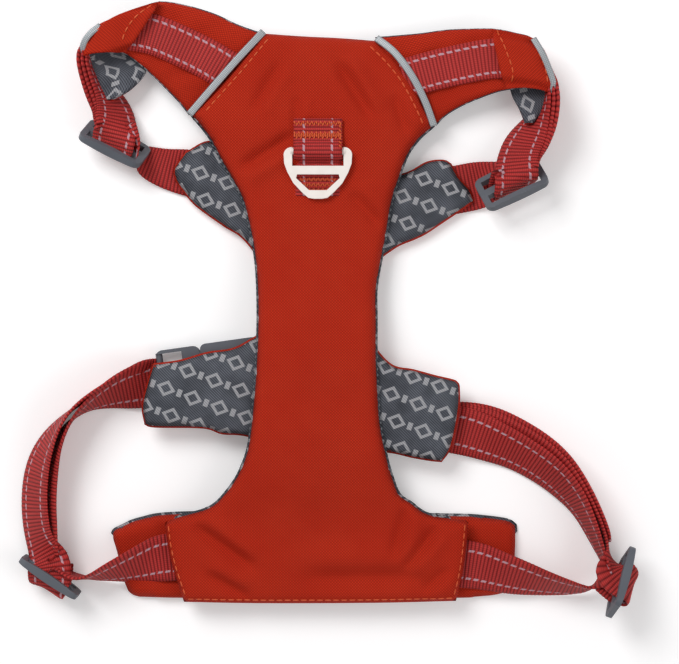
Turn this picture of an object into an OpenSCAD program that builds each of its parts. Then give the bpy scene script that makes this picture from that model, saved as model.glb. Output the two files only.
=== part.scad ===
// No pull dog harness, laid flat with its back panel on top and its chest panel underneath.
// +X is the wearer's right side, +Y the neck and +Z up. The origin is on the table, under the
// middle of the chest webbing, whose flat face is the lowest part of the harness.

/* [Webbing] */
// Width of every strap
webbing_w = 25; // [20:1:30]
// Thickness of one layer of webbing
webbing_t = 1.6; // [1.2:0.1:2]
// Width of the webbing that is sewn on the sleeves
sleeve_webbing_w = 20.5; // [16:0.5:24]

/* [Back panel] */
// Length from the neck edge to the hem
back_length = 298; // [280:1:330]
// Width of the neck edge
neck_w = 60; // [50:1:70]
// Width across the outer ends of the shoulder seams
shoulder_w = 128; // [120:1:140]
// Width at the waist
waist_w = 63; // [54:1:76]
// Width across the side seams that hold the belly straps
seam_w = 158; // [150:1:170]
// Width of the hem
hem_w = 145; // [130:1:150]
// How much lower the right shoulder lies than the left
shoulder_drop = 5; // [0:1:8]

/* [Layers] */
// Thickness of a shell fabric
cover_t = 1.2; // [0.8:0.1:2]
// Thickness of the lining fabric
lining_t = 1; // [0.6:0.1:1.6]
// Thickness of the back panel's foam
back_foam_t = 4.5; // [3:0.5:6]
// Thickness of the chest panel's foam
chest_foam_t = 3.5; // [2:0.5:5]
// Thickness of the belly pad's foam
belly_foam_t = 3.5; // [2:0.5:5]
// Width of the seam allowance that closes a pad round its foam
seam_allowance = 5; // [3:0.5:8]
// How far a lining rolls out past its cover
lining_roll = 0.8; // [0.4:0.1:1.5]
// Radius of the piping cords
piping_r = 1.3; // [0.8:0.1:2]

/* [Chest panel] */
// Length of the chest panel's middle, from the neck edge to the belly edge
chest_length = 150; // [130:1:160]
// Width at the waist
chest_waist_w = 52; // [40:1:60]

/* [Belly pad] */
// Width of the pad from flap to flap
belly_pad_w = 212; // [190:1:230]
// Length of the pad from front to hem
belly_pad_length = 46; // [40:1:56]

/* [Shoulder sleeves] */
// Thickness of the padded sleeve above its lining
sleeve_t = 3; // [2:0.5:5]

/* [Leash rings] */
// Overall width of a ring
ring_w = 35.4; // [33:0.2:40]
// Overall length of a ring from its hinge bar to the bow
ring_l = 26.6; // [24:0.2:30]
// Thickness of the ring's plate
ring_t = 3; // [2:0.5:4]
// Diameter of the hinge bar inside the webbing
ring_bar_d = 4; // [3:0.5:5]
// Width of the crossbar and the side bars
ring_bar_w = 4.4; // [3.5:0.1:5.5]
// Depth of the webbing slot
ring_slot = 5.6; // [5:0.1:7]

/* [Sliders] */
// Height of a slider across its bars
slider_h = 21.6; // [20:0.2:26]
// Wall at each end of the slots
slider_end = 3.4; // [2.5:0.1:5]
// Thickness of the slider at its middle
slider_t = 4.6; // [3:0.2:6]
// Height of the two outer bars
slider_rail = 3; // [2:0.2:4]
// Height of the middle bar
slider_bar = 4.4; // [3:0.2:6]
// How far a slider can move before the strap begins to twist
slider_travel = 1.5; // [1:0.5:3]

/* [Buckles] */
// Overall height of a buckle
buckle_h = 9; // [8:0.5:11]
// Width that a buckle adds to the webbing
buckle_side = 8; // [7:0.5:10]
// Length of the socket's shell
socket_l = 30; // [28:1:34]
// Wall of the socket
socket_wall = 1.6; // [1.2:0.1:2.2]
// Diameter of the bars that hold the webbing
buckle_bar_d = 3.6; // [3:0.2:4.4]
// Width of a prong's arm
prong_w = 3; // [2.4:0.2:3.6]

/* [Fit] */
// Clearance between moving pieces
play = 0.35; // [0.3:0.05:0.5]
// Gap between pieces that lie on each other
lie = 0.1; // [0.05:0.05:0.3]

/* [Hidden] */
$fn = 48;
curve_steps = 8;
strap_steps = 3;
shell_red = [0.69, 0.16, 0.09];
webbing_red = [0.62, 0.12, 0.11];
lining_grey = [0.28, 0.31, 0.36];
foam_grey = [0.5, 0.5, 0.52];
thread_orange = [0.82, 0.38, 0.16];
piping_grey = [0.62, 0.63, 0.64];
steel = [0.8, 0.8, 0.77];
plastic_grey = [0.3, 0.32, 0.35];

// Layers, from the table up
back_t = back_foam_t + 2 * cover_t;
chest_t = chest_foam_t + 2 * cover_t;
belly_t = belly_foam_t + 2 * cover_t;
arm_z = webbing_t + 3 * lie;
buckle_z = buckle_h / 2;
hip_z = buckle_h + webbing_t + 2 * lie;
belly_top = lining_t + belly_t;
strap_z = belly_top + lie + webbing_t / 2;
back_hem_z = belly_top + webbing_t + 12 * lie + lining_t;
back_hip_z = hip_z + chest_t + 2 * lining_t + 2 * lie;
back_chest_z = arm_z + chest_t + 2 * lining_t + 4 * lie;
back_neck_z = 5;

// Back panel outline
neck_y = 142;
hem_y = neck_y - back_length;
seam_y = hem_y + 42.5;
shoulder_y = neck_y - 43;
half_neck = neck_w / 2;
half_shoulder = shoulder_w / 2;
half_waist = waist_w / 2;
half_seam = seam_w / 2;
half_hem = hem_w / 2;

// Chest panel outline
chest_top_y = 72;
chest_low_y = chest_top_y - chest_length;
half_chest = chest_waist_w / 2;
lap_y = -7;
step_y = -16.5;

// Rings
ring_loop_r = ring_bar_d / 2 + play;
ring_rise = webbing_t + ring_loop_r;
leash_bar_y = 79;
leash_tail_y = 57;
leash_head_y = 95;
chest_bar_y = chest_top_y + 6.5;
thread_t = 0.4;
ring_rest_tilt = 0.7;
chest_ring_tilt = 4;

// Sliders: centre and the three turns that set the long bar, the lean and the heading
slot_offset = slider_bar / 2 + (slider_h - 2 * slider_rail - slider_bar) / 4;
slot_h = (slider_h - 2 * slider_rail - slider_bar) / 2;
slot_l = webbing_w + 3.6;
slider_l = slot_l + 2 * slider_end;
lead_in = 3.8;
straight_run = slider_travel + slider_t / 2 + lead_in;
bight_reach = 8;
bight_offset = slider_bar / 2 + webbing_t / 2 + 4 * lie;
left_belly_slider_at = [[-140, -142.5, slider_h / 2 + lie], [0, 0, -34], -0.36];
right_belly_slider_at = [[157, -144.3, 19.6], [0, 33, 70], 0.3];
left_shoulder_slider_at = [[-106.3, 83.8, 11], [33, 0, -27], 0.25];
right_shoulder_slider_at = [[100.9, 62.9, 14.8], [52, 0, 25], 0.36];

// Buckles: centre and heading of the strap end
left_buckle_at = [[-57, -37, buckle_z], [0, 0, 188]];
right_buckle_at = [[41.7, -58, buckle_z], [0, 0, -14]];
buckle_w = webbing_w + buckle_side;
socket_mouth = 3;
socket_end = socket_mouth - socket_l;
male_bar_x = 25;
socket_bar_x = socket_end - 7;
cavity_w = buckle_w - 4 * socket_wall;
cavity_h = buckle_h - 2 * socket_wall;
prong_h = cavity_h - 2 * play;
prong_y = cavity_w / 2 - prong_w / 2 - 3.4;
prong_root_x = socket_mouth + 3.4;
catch_x = -7;
window_end_x = -22;

// ---- Curves ----

function unit(v) = v / norm(v);

function bezier(a, b, c, d, t) =
    a * pow(1 - t, 3) + 3 * b * t * pow(1 - t, 2) + 3 * c * t * t * (1 - t) + d * pow(t, 3);

function arc_to(a, b, c, d) = [for (i = [0 : curve_steps]) bezier(a, b, c, d, i / curve_steps)];

function between(a, b, c, d, t) =
    0.5 * (2 * b + (c - a) * t + (2 * a - 5 * b + 4 * c - d) * t * t
           + (3 * b - a - 3 * c + d) * t * t * t);

// A smooth path through every station of a list
function smooth(s, k) = [
    for (i = [0 : len(s) - 2], j = [0 : k - 1])
        between(s[max(i - 1, 0)], s[i], s[i + 1], s[min(i + 2, len(s) - 1)], j / k),
    s[len(s) - 1]];

function spin_x(v, a) = [v.x, v.y * cos(a) - v.z * sin(a), v.y * sin(a) + v.z * cos(a)];
function spin_y(v, a) = [v.x * cos(a) + v.z * sin(a), v.y, v.z * cos(a) - v.x * sin(a)];
function spin_z(v, a) = [v.x * cos(a) - v.y * sin(a), v.x * sin(a) + v.y * cos(a), v.z];
function turned(v, a) = spin_z(spin_y(spin_x(v, a.x), a.y), a.z);
function placed(v, at) = at[0] + turned(v, at[1]);

// ---- Bands of cloth and webbing ----
// A station is its centre, the direction of its width, its width and its thickness.

function station(p, across, w, t) = concat(p, unit(across), [w, t]);
function centre(s) = [s[0], s[1], s[2]];
function across(s) = unit([s[3], s[4], s[5]]);
function heading(s, i) = unit(centre(s[min(i + 1, len(s) - 1)]) - centre(s[max(i - 1, 0)]));
function face_of(s, i) = unit(cross(heading(s, i), across(s[max(i - 1, 0)])
                                    + across(s[min(i + 1, len(s) - 1)])));

// The stations of a band that lies on another, rise above its middle
function laid_on(s, rise, w, t) = [
    for (i = [0 : len(s) - 1])
        station(centre(s[i]) + rise * face_of(s, i), across(s[i]), is_undef(w) ? s[i][6] : w, t)];

function part_of(s, first, last) = [for (i = [first : last]) s[i]];

module band(s, k = strap_steps) {
    p = smooth(s, k);
    last = len(p) - 1;
    corners = [for (i = [0 : last], c = [[-1, -1], [1, -1], [1, 1], [-1, 1]])
        centre(p[i]) + c.x * across(p[i]) * p[i][6] / 2 + c.y * face_of(p, i) * p[i][7] / 2];
    sides = [for (i = [0 : last - 1], c = [0 : 3])
        let (a = 4 * i + c, b = 4 * i + (c + 1) % 4)
        each [[a, b + 4, b], [a, a + 4, b + 4]]];
    ends = [[0, 2, 3], [0, 1, 2], [4 * last, 4 * last + 2, 4 * last + 1],
            [4 * last, 4 * last + 3, 4 * last + 2]];
    polyhedron(corners, concat(sides, ends));
}

// ---- Panels ----

// Extrudes a profile of [y, z] points across the whole width of the harness
module across_width(profile) {
    translate([-200, 0, 0])
        rotate([90, 0, 90])
            linear_extrude(400)
                polygon(profile);
}

// A layer between two heights above a bottom line of [y, z] points
module layer(outline, bottom, low, high) {
    intersection() {
        linear_extrude(60)
            polygon(outline);
        across_width(concat([for (p = bottom) p + [0, low]],
                            [for (i = [len(bottom) - 1 : -1 : 0]) bottom[i] + [0, high]]));
    }
}

// A pad's cover, with a pocket below for the foam
module pad_cover(outline, inner, bottom, foam_t) {
    difference() {
        layer(outline, bottom, 0, foam_t + 2 * cover_t);
        layer(inner, bottom, -1, foam_t + cover_t);
    }
}

function shrunk(points, x_share, margin, mid_y, half_length) =
    [for (p = points) [p.x * x_share, mid_y + (p.y - mid_y) * (1 - margin / half_length)]];

// An outline drawn in by a small gap, all round
function inset(points, gap) =
    let (n = len(points))
    [for (i = [0 : n - 1])
        let (t = unit(points[(i + 1) % n] - points[(i + n - 1) % n]))
        points[i] + gap * [-t.y, t.x]];

back_bottom = [[hem_y - 5, back_hem_z], [seam_y, back_hem_z], [hem_y + 68, back_hip_z],
               [step_y, back_hip_z], [22, back_chest_z],
               [leash_head_y + 1, back_chest_z],
               [leash_head_y + 14, back_neck_z + 2], [neck_y + 5, back_neck_z]];

function back_outline(grow = 0) = concat(
    [[-half_hem - grow, hem_y - grow], [half_hem + grow, hem_y - grow]],
    arc_to([half_seam + grow, seam_y], [half_waist + 10 + grow, seam_y + 2],
           [half_waist + 4 + grow, hem_y + 66], [half_waist - 1 + grow, hem_y + 112]),
    arc_to([half_waist - 1 + grow, hem_y + 150], [half_waist + 2 + grow, 30],
           [half_waist + 5 + grow, 76], [half_shoulder - 3 + grow, shoulder_y - shoulder_drop]),
    arc_to([half_neck + 1 + grow, neck_y - shoulder_drop + grow], [10, neck_y - 6 + grow],
           [-10, neck_y - 3 + grow], [-half_neck - grow, neck_y + grow]),
    arc_to([-half_shoulder - 1 - grow, shoulder_y], [-half_waist - 14 - grow, 78],
           [-half_waist - 2 - grow, 46], [-half_waist - grow, hem_y + 164]),
    arc_to([-half_waist - grow, hem_y + 112], [-half_waist - 5 - grow, hem_y + 64],
           [-half_waist - 10 - grow, seam_y + 2], [-half_seam - grow, seam_y]));

function back_pocket() = shrunk(back_outline(), 1 - seam_allowance / half_waist,
                                seam_allowance, (neck_y + hem_y) / 2, back_length / 2);

chest_bottom = [[chest_low_y - 20, hip_z], [step_y, hip_z], [lap_y, arm_z],
                [chest_top_y + 25, arm_z]];

function chest_outline(grow = 0) = concat(
    [[-90.5 - grow, -64 - grow], [-60, -65 - grow], [-half_chest - 10, -69 - grow]],
    arc_to([-half_chest, -71 - grow], [-10, chest_low_y + 2 - grow],
           [12, chest_low_y - grow], [half_chest + 8, chest_low_y + 1 - grow]),
    [[64.5, -83 - grow], [69 + grow, -76 - grow], [74 + grow, -60], [74 + grow, -41 + grow],
     [61, -37 + grow]],
    arc_to([44, -32.5 + grow], [half_chest - 8 + grow, -28], [half_chest - 6 + grow, 20],
           [56, 37 - grow]),
    [[66, 43 - grow], [82 + grow, 54 - grow], [80 + grow, 61 + grow], [73 + grow, 70 + grow],
     [66, 76 + grow], [57, 75 + grow]],
    arc_to([44, 70 + grow], [25, chest_top_y - 6 + grow], [-20, chest_top_y - 4 + grow],
           [-46, 84 + grow]),
    [[-57, 86 + grow], [-66, 83 + grow], [-75 - grow, 74 + grow], [-76 - grow, 66 - grow],
     [-66, 53 - grow]],
    arc_to([-50, 41 - grow], [-half_chest + 4 - grow, 24], [-half_chest + 6 - grow, -18],
           [-44, -22.5 + grow]),
    [[-58, -25 + grow], [-86 - grow, -31 + grow], [-91 - grow, -45]]);

function chest_pocket() = shrunk(chest_outline(), 1 - seam_allowance / half_chest,
                                 seam_allowance, -4, chest_length / 2);

belly_front_y = hem_y + belly_pad_length;
half_pad = belly_pad_w / 2;

function belly_outline(grow = 0) =
    [[-half_pad + 6 - grow, hem_y + 5 - grow], [-half_pad + 12, hem_y + 2 - grow],
     [half_pad - 8, hem_y + 2 - grow], [half_pad - 4 + grow, hem_y + 5],
     [half_pad - 1.5 + grow, belly_front_y - 14], [half_pad - 4 + grow, belly_front_y - 7],
     [half_pad - 24, belly_front_y - 2 + grow], [-half_pad + 30, belly_front_y + grow],
     [-half_pad + 3 - grow, belly_front_y - 8 + grow], [-half_pad - 2 - grow, belly_front_y - 13]];

function belly_pocket() = shrunk(belly_outline(), 1 - seam_allowance / half_pad,
                                 seam_allowance, hem_y + belly_pad_length / 2,
                                 belly_pad_length / 2);

belly_bottom = [[hem_y - 10, lining_t], [belly_front_y + 10, lining_t]];

module back_panel_cover() {
    color(shell_red)
        pad_cover(back_outline(), back_pocket(), back_bottom, back_foam_t);
}

module back_panel_foam() {
    color(foam_grey)
        layer(inset(back_pocket(), 3 * lie), back_bottom, lie, back_foam_t + cover_t - lie);
}

module back_panel_lining() {
    color(lining_grey)
        layer(back_outline(lining_roll), back_bottom, -lining_t, 0);
}

module belly_pad_cover() {
    color(shell_red)
        pad_cover(belly_outline(), belly_pocket(), belly_bottom, belly_foam_t);
}

module belly_pad_foam() {
    color(foam_grey)
        layer(inset(belly_pocket(), 3 * lie), belly_bottom, lie, belly_foam_t + cover_t - lie);
}

module belly_pad_lining() {
    color(lining_grey)
        layer(belly_outline(lining_roll), belly_bottom, -lining_t, 0);
}

// The chest panel lies with its lining up, so its pocket opens upwards
module chest_panel_cover() {
    color(shell_red)
        difference() {
            layer(chest_outline(), chest_bottom, 0, chest_t);
            layer(chest_pocket(), chest_bottom, cover_t, chest_t + 1);
        }
}

module chest_panel_foam() {
    color(foam_grey)
        layer(inset(chest_pocket(), 3 * lie), chest_bottom, cover_t + lie, chest_t - lie);
}

module chest_panel_lining() {
    color(lining_grey)
        layer(chest_outline(lining_roll), chest_bottom, chest_t, chest_t + lining_t);
}

// ---- Leash rings and their webbing ----

// A flat ring seen from above, with its hinge bar on the X axis and its bow towards -Y
module ring() {
    half = ring_w / 2;
    slot_half = half - ring_bar_w;
    edge = ring_bar_d / 2;
    eye_top = edge - ring_bar_d - ring_slot - ring_bar_w;
    eye_low = edge - ring_l + ring_bar_w;
    rotate([0, 90, 0])
        cylinder(d = ring_bar_d, h = 2 * slot_half + 2, center = true);
    translate([0, 0, -ring_t / 2])
        linear_extrude(ring_t)
            difference() {
                union() {
                    polygon([[-half + 4, edge], [half - 4, edge], [half, edge - 4],
                             [half - 0.3, edge - 8.5], [half - 2, edge - 13],
                             [half - 5, edge - 18.5], [half - 9.4, edge - 23.2],
                             [5, edge - ring_l + 0.5], [2, edge - ring_l],
                             [-2, edge - ring_l], [-5, edge - ring_l + 0.5],
                             [-half + 9.4, edge - 23.2], [-half + 5, edge - 18.5],
                             [-half + 2, edge - 13], [-half + 0.3, edge - 8.5],
                             [-half, edge - 4]]);
                    for (side = [-1, 1])
                        translate([side * (half - 4), edge - 4])
                            circle(r = 4);
                }
                polygon([[-slot_half, edge + 1], [slot_half, edge + 1],
                         [slot_half, edge - ring_bar_d - ring_slot],
                         [-slot_half, edge - ring_bar_d - ring_slot]]);
                polygon([[-slot_half + 2.5, eye_top], [slot_half - 2.5, eye_top],
                         [slot_half - 2, eye_top - 2], [4.6, eye_low],
                         [-4.6, eye_low], [-slot_half + 2, eye_top - 2]]);
            }
}

function around(a, r, lift) = [r * sin(a), lift + r * cos(a)];

// Webbing that comes along the panel, wraps the hinge bar and goes back over itself.
// Its upper layer ends at head, its lower layer runs from the tail to reach.
module ring_loop(tail, head, lead, reach) {
    outer = ring_loop_r + webbing_t;
    translate([-webbing_w / 2, 0, 0])
        rotate([90, 0, 90])
            linear_extrude(webbing_w)
                difference() {
                    polygon(concat([[-tail, webbing_t], [-tail, 0], [reach, 0], [reach, webbing_t],
                                    [head, webbing_t], [head, 2 * webbing_t], [lead, 2 * webbing_t]],
                                   [for (a = [45 : -15 : -120]) around(a, outer, ring_rise)],
                                   [[-sqrt(outer * outer - ring_loop_r * ring_loop_r), webbing_t]]));
                    translate([0, ring_rise])
                        circle(r = ring_loop_r);
                }
}

leash_floor = back_chest_z + back_t;

module leash_webbing() {
    color(webbing_red)
        translate([0, leash_bar_y, leash_floor])
            ring_loop(leash_bar_y - leash_tail_y, leash_head_y - leash_bar_y, 8,
                      leash_head_y - leash_bar_y - 0.5);
}

// Two blocks of zigzag thread that hold the webbing down
module leash_webbing_stitching() {
    color(thread_orange) {
        translate([-webbing_w / 2, leash_head_y - 7.8, leash_floor + 2 * webbing_t])
            cube([webbing_w, 7.2, thread_t]);
        translate([-webbing_w / 3, leash_tail_y + 2.4, leash_floor + webbing_t])
            cube([webbing_w * 2 / 3, 7.4, thread_t]);
    }
}

module leash_ring() {
    color(steel)
        translate([0, leash_bar_y, leash_floor + ring_rise])
            rotate([ring_rest_tilt, 0, 0])
                ring();
}

module chest_leash_webbing() {
    color(webbing_red)
        translate([0, chest_bar_y, 0])
            rotate([0, 0, 180])
                ring_loop(ring_rise, 6.6, 6.2, chest_bar_y - lap_y - 1);
}

module chest_leash_ring() {
    color(steel)
        translate([0, chest_bar_y, ring_rise])
            rotate([-chest_ring_tilt, 0, 180])
                ring();
}

// ---- Shoulder sleeves ----
// Each sleeve runs out from the shoulder seam, folds under at its cap and ends in a tip.

left_sleeve_route = [
    station([-51, 122.5, 8.6], [-37, -42, 0], 54, sleeve_t),
    station([-66.5, 131.8, 11], [-24, -39, 0], 44, sleeve_t),
    station([-82, 138.5, 14], [-14, -33, 0], 36, sleeve_t),
    station([-96, 140, 17.5], [-7, -24, -4], 27, sleeve_t),
    station([-107, 138.5, 20], [-5, -18, -4], 22, sleeve_t),
    station([-114, 135.5, 19.5], [-7, -15, -2], 20, sleeve_t),
    station([-117.5, 131, 15.5], [-11, -13, 2], 21, sleeve_t),
    station([-114, 125.5, 12], [-16, -9, 8], 25, sleeve_t),
    station([-108, 117, 11.5], [-19, -8, 12], 26, sleeve_t),
    station([-105, 108, 11.5], [-18, -8, 13], 17, sleeve_t)];

right_sleeve_route = [
    station([48.5, 117.5, 8.6], [-28.6, 44.7, 0], 52, sleeve_t),
    station([65, 121.5, 11], [-9.7, 40.3, 0], 41, sleeve_t),
    station([81, 125, 14], [-2, 36, 0], 36, sleeve_t),
    station([94, 126.5, 17.5], [0, 31, 4], 31, sleeve_t),
    station([105, 126, 20], [-4, 27, 4], 27, sleeve_t),
    station([112, 124.5, 19.5], [-8, 25, 2], 26, sleeve_t),
    station([116, 120.5, 15.5], [-13, 22, -2], 26, sleeve_t),
    station([114, 114, 12], [-17, 15, -8], 26, sleeve_t),
    station([110, 106, 11.5], [-20, 10, -12], 24, sleeve_t),
    station([107.5, 98.5, 11.5], [-18, 9, -13], 15, sleeve_t)];

fold = 4;
web_rise = sleeve_t / 2 + webbing_t / 2 + 5 * lie;
double_rise = sleeve_t / 2 + webbing_t + 9 * lie;
cap_rise = sleeve_t / 2 + webbing_t + cover_t / 2 + 9 * lie;

module sleeve_cover(route) {
    color(shell_red)
        band(smooth(route, 2), 2);
}

module sleeve_lining(route) {
    color(lining_grey)
        let (s = laid_on(smooth(route, 2), -(sleeve_t + lining_t) / 2 - 6 * lie, undef, lining_t)) {
            band(part_of(s, 0, 2 * fold + 1), 2);
            band(part_of(s, 2 * fold + 6, len(s) - 1), 2);
        }
}

module shoulder_webbing(route) {
    color(webbing_red)
        band(part_of(laid_on(smooth(route, 2), web_rise, sleeve_webbing_w, webbing_t), 0, 2 * fold), 2);
}

module shoulder_cap(route) {
    color(shell_red)
        band(part_of(laid_on(smooth(route, 2), cap_rise, undef, cover_t), 5, 10), 2);
}

module cap_piping(route) {
    s = laid_on(smooth(route, 2), cap_rise + cover_t / 2 + piping_r + 2 * lie, undef, cover_t);
    end = s[10];
    color(piping_grey)
        rod(centre(end) - across(end) * end[6] / 2, centre(end) + across(end) * end[6] / 2,
            piping_r);
}

// A round cord between two points
module rod(a, b, r) {
    v = b - a;
    translate(a)
        rotate([0, acos(v.z / norm(v)), atan2(v.y, v.x)])
            cylinder(r = r, h = norm(v), $fn = 24);
}

// A point on top of the back panel, where a piping lies
function on_panel(x, y) = [x, y, lookup(y, back_bottom) + back_t + piping_r + 3 * lie];

module left_neck_piping() {
    color(piping_grey)
        rod(on_panel(-half_neck - 1, neck_y), on_panel(-half_shoulder - 2, shoulder_y), piping_r);
}

module right_neck_piping() {
    color(piping_grey)
        rod(on_panel(half_neck + 2, neck_y - shoulder_drop),
            on_panel(half_shoulder - 2, shoulder_y - shoulder_drop), piping_r);
}

// ---- Straps through the sliders ----

function run_of(at) = unit([at[2], 1, 0]);
function slot_station(at, v) = station(placed(v, at), turned([1, 0, 0], at[1]), webbing_w, webbing_t);

// The strap goes through the lower slot, round the middle bar and back through the upper slot
function bight(at) = [
    slot_station(at, run_of(at) * (straight_run + lead_in) - [0, 0, bight_offset + lead_in / 2]),
    slot_station(at, run_of(at) * straight_run - [0, 0, bight_offset]),
    slot_station(at, [0, 0, -bight_offset]),
    for (a = [-55, -20, 20, 55])
        slot_station(at, -run_of(at) * bight_reach * cos(a) + [0, 0, bight_offset * sin(a)]),
    slot_station(at, [0, 0, bight_offset]),
    slot_station(at, run_of(at) * straight_run + [0, 0, bight_offset])];

function single(p, across) = station(p, across, webbing_w, webbing_t);
function double(p, across) = station(p, across, webbing_w, 2 * webbing_t);

// The doubled strap along the underside of a sleeve and up round its fold, into the cap
function strap_round(route) =
    let (s = laid_on(smooth(route, 2), double_rise, webbing_w, 2 * webbing_t))
    [for (i = [18 : -1 : 2 * fold + 3]) double(centre(s[i]), -across(s[i]))];

module left_shoulder_strap() {
    color(webbing_red)
        band(concat(
            [single([-48, 66, arm_z / 2], [0.1, -1, 0]),
             single([-62, 68.2, arm_z / 2], [0.15, -1, 0]),
             single([-71, 69.8, arm_z / 2], [0.15, -1, 0]),
             single([-79, 71.8, 1.3], [0.2, -1, 0]),
             single([-84, 76.5, 6], [0.35, -0.93, 0]),
             single([-88, 82.5, 10.5], [0.75, -0.65, 0])],
            bight(left_shoulder_slider_at),
            [double([-102.5, 94.5, 16], [0.95, 0, -0.3]),
             double([-106.5, 102.5, 11.5], [0.85, 0.2, -0.5])],
            strap_round(left_sleeve_route)));
}

module right_shoulder_strap() {
    color(webbing_red)
        band(concat(
            [single([52, 57, arm_z / 2], [-0.2, 1, 0]),
             single([68, 59.5, arm_z / 2], [-0.2, 0.97, 0]),
             single([77, 62, arm_z / 2], [-0.15, 0.97, 0]),
             single([86, 66, 1.9], [0.1, 0.96, 0]),
             single([90, 76, 11.5], [0.88, 0.46, 0])],
            bight(right_shoulder_slider_at),
            [double([104, 79, 17.5], [0.95, 0.1, 0.3]),
             double([106.5, 89, 12], [0.85, -0.25, 0.5])],
            strap_round(right_sleeve_route)));
}

module left_belly_strap() {
    color(webbing_red) {
        band(concat(
            [single([-half_seam + 17, -131.5, strap_z + 3 * lie], [0.06, 1, 0]),
             single([-half_seam - 3, -132.5, strap_z + 11 * lie], [0.04, 1, 0]),
             single([-89, -134.7, 15.2], [0, 0.83, 0.56]),
             single([-100, -137.8, 18.2], [0, 0.63, 0.78]),
             single([-111, -141.4, 15.2], [0, 0.42, 0.91]),
             single([-121.5, -144.5, 13.4], [0, 0.1, 0.99]),
             single([-130.5, -142.5, 10.5], [0.45, -0.45, 0.75])],
            bight(left_belly_slider_at),
            [double([-143.5, -125.6, 14.2], [0.78, -0.3, -0.45]),
             double([-145.7, -115, 11.7], [0.58, 0.05, -0.8]),
             double([-145.3, -101, 10.2], [0.77, 0, -0.64]),
             double([-144.3, -85, 10.2], [0.76, -0.1, -0.64]),
             double([-141, -75, 10.5], [0.56, -0.37, -0.74]),
             double([-133.4, -62.4, 12], [0.35, -0.37, -0.86]),
             double([-125, -54.1, 12.9], [0.15, -0.25, -0.96]),
             double([-115, -48.5, 12.6], [0.05, -0.35, -0.94]),
             double([-104, -45, 9.9], [0.1, -0.75, -0.66]),
             double([-95.5, -42.8, 5.8], [0.15, -0.95, -0.25]),
             double(placed([male_bar_x + 4, 0, 0], left_buckle_at), [0.139, -0.99, 0])]));
        strap_eye(left_buckle_at);
    }
}

module right_belly_strap() {
    color(webbing_red) {
        band(concat(
            [single([half_seam - 17, -135, strap_z + 3 * lie], [0, -1, 0]),
             single([half_seam + 3, -136.2, strap_z + 10 * lie], [0, -1, 0]),
             single([93.6, -139.9, 14.6], [0, -0.87, -0.49]),
             single([104.5, -143, 17], [0, -0.75, -0.66]),
             single([115.4, -145.6, 12.8], [0, -0.62, -0.78]),
             single([126.9, -147.9, 11.9], [0, -0.52, -0.85]),
             single([137.5, -149.5, 12.6], [0, -0.39, -0.92]),
             single([145, -147.5, 14.6], [0.3, 0.25, -0.92])],
            bight(right_belly_slider_at),
            [double([151, -129, 18.5], [0.6, 0.65, 0.1]),
             double([147.5, -119, 13.6], [0.5, 0.2, 0.84]),
             double([142.8, -110.2, 12.9], [0.3, 0.17, 0.94]),
             double([137.5, -103, 12.6], [0.38, 0.25, 0.89]),
             double([125.5, -90.5, 11], [0.44, 0.45, 0.77]),
             double([115.3, -81.6, 10.3], [0.39, 0.58, 0.71]),
             double([99.6, -74.5, 8.8], [0.34, 0.75, 0.57]),
             double([87, -69.5, 6.6], [0.3, 0.88, 0.37]),
             double([78, -66.3, 5], [0.25, 0.96, 0.12]),
             double(placed([male_bar_x + 4, 0, 0], right_buckle_at), [0.242, 0.97, 0])]));
        strap_eye(right_buckle_at);
    }
}

// The end of a doubled strap, round the bar of a buckle's insert
module strap_eye(at) {
    r = buckle_bar_d / 2 + play;
    translate(at[0])
        rotate(at[1])
            translate([male_bar_x, webbing_w / 2, 0])
                rotate([90, 0, 0])
                    linear_extrude(webbing_w)
                        difference() {
                            union() {
                                circle(r = r + webbing_t);
                                polygon([[0, -r - webbing_t], [5, -webbing_t],
                                         [5, webbing_t], [0, r + webbing_t]]);
                            }
                            circle(r = r);
                        }
}

module slider(at) {
    half = slider_l / 2;
    color(plastic_grey)
        translate(at[0])
            rotate(at[1])
                difference() {
                    intersection() {
                        linear_extrude(slider_h, center = true)
                            polygon([for (side = [-1, 1], i = [-6 : 6])
                                let (x = -side * i * half / 6)
                                [x, side * (1.4 + (slider_t / 2 - 1.4) * cos(90 * i / 6))]]);
                        rotate([90, 0, 0])
                            linear_extrude(slider_t + 2, center = true)
                                rounded_box(slider_l, slider_h, 4);
                    }
                    for (side = [-1, 1])
                        translate([0, 0, side * slot_offset])
                            cube([slot_l, slider_t + 2, slot_h], center = true);
                }
}

// A rectangle with round corners, centred
module rounded_box(w, h, r) {
    square([w - 2 * r, h], center = true);
    square([w, h - 2 * r], center = true);
    for (x = [-1, 1], y = [-1, 1])
        translate([x * (w / 2 - r), y * (h / 2 - r)])
            circle(r = r);
}

// ---- Side release buckles ----
// Local +X runs to the belly strap and local -X to the chest.

module buckle_tab(at) {
    r = buckle_bar_d / 2 + play;
    color(webbing_red)
        translate(at[0])
            rotate(at[1])
                translate([socket_bar_x, webbing_w / 2, 0])
                    rotate([90, 0, 0])
                        linear_extrude(webbing_w)
                            difference() {
                                union() {
                                    circle(r = r + webbing_t);
                                    polygon([[0, r], [0, r + webbing_t],
                                             [-8, buckle_h / 2 + webbing_t],
                                             [-14, buckle_h / 2 + webbing_t],
                                             [-14, buckle_h / 2], [-8, buckle_h / 2],
                                             [-r * 2, 0], [-r, -1]]);
                                }
                                circle(r = r);
                            }
}

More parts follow.
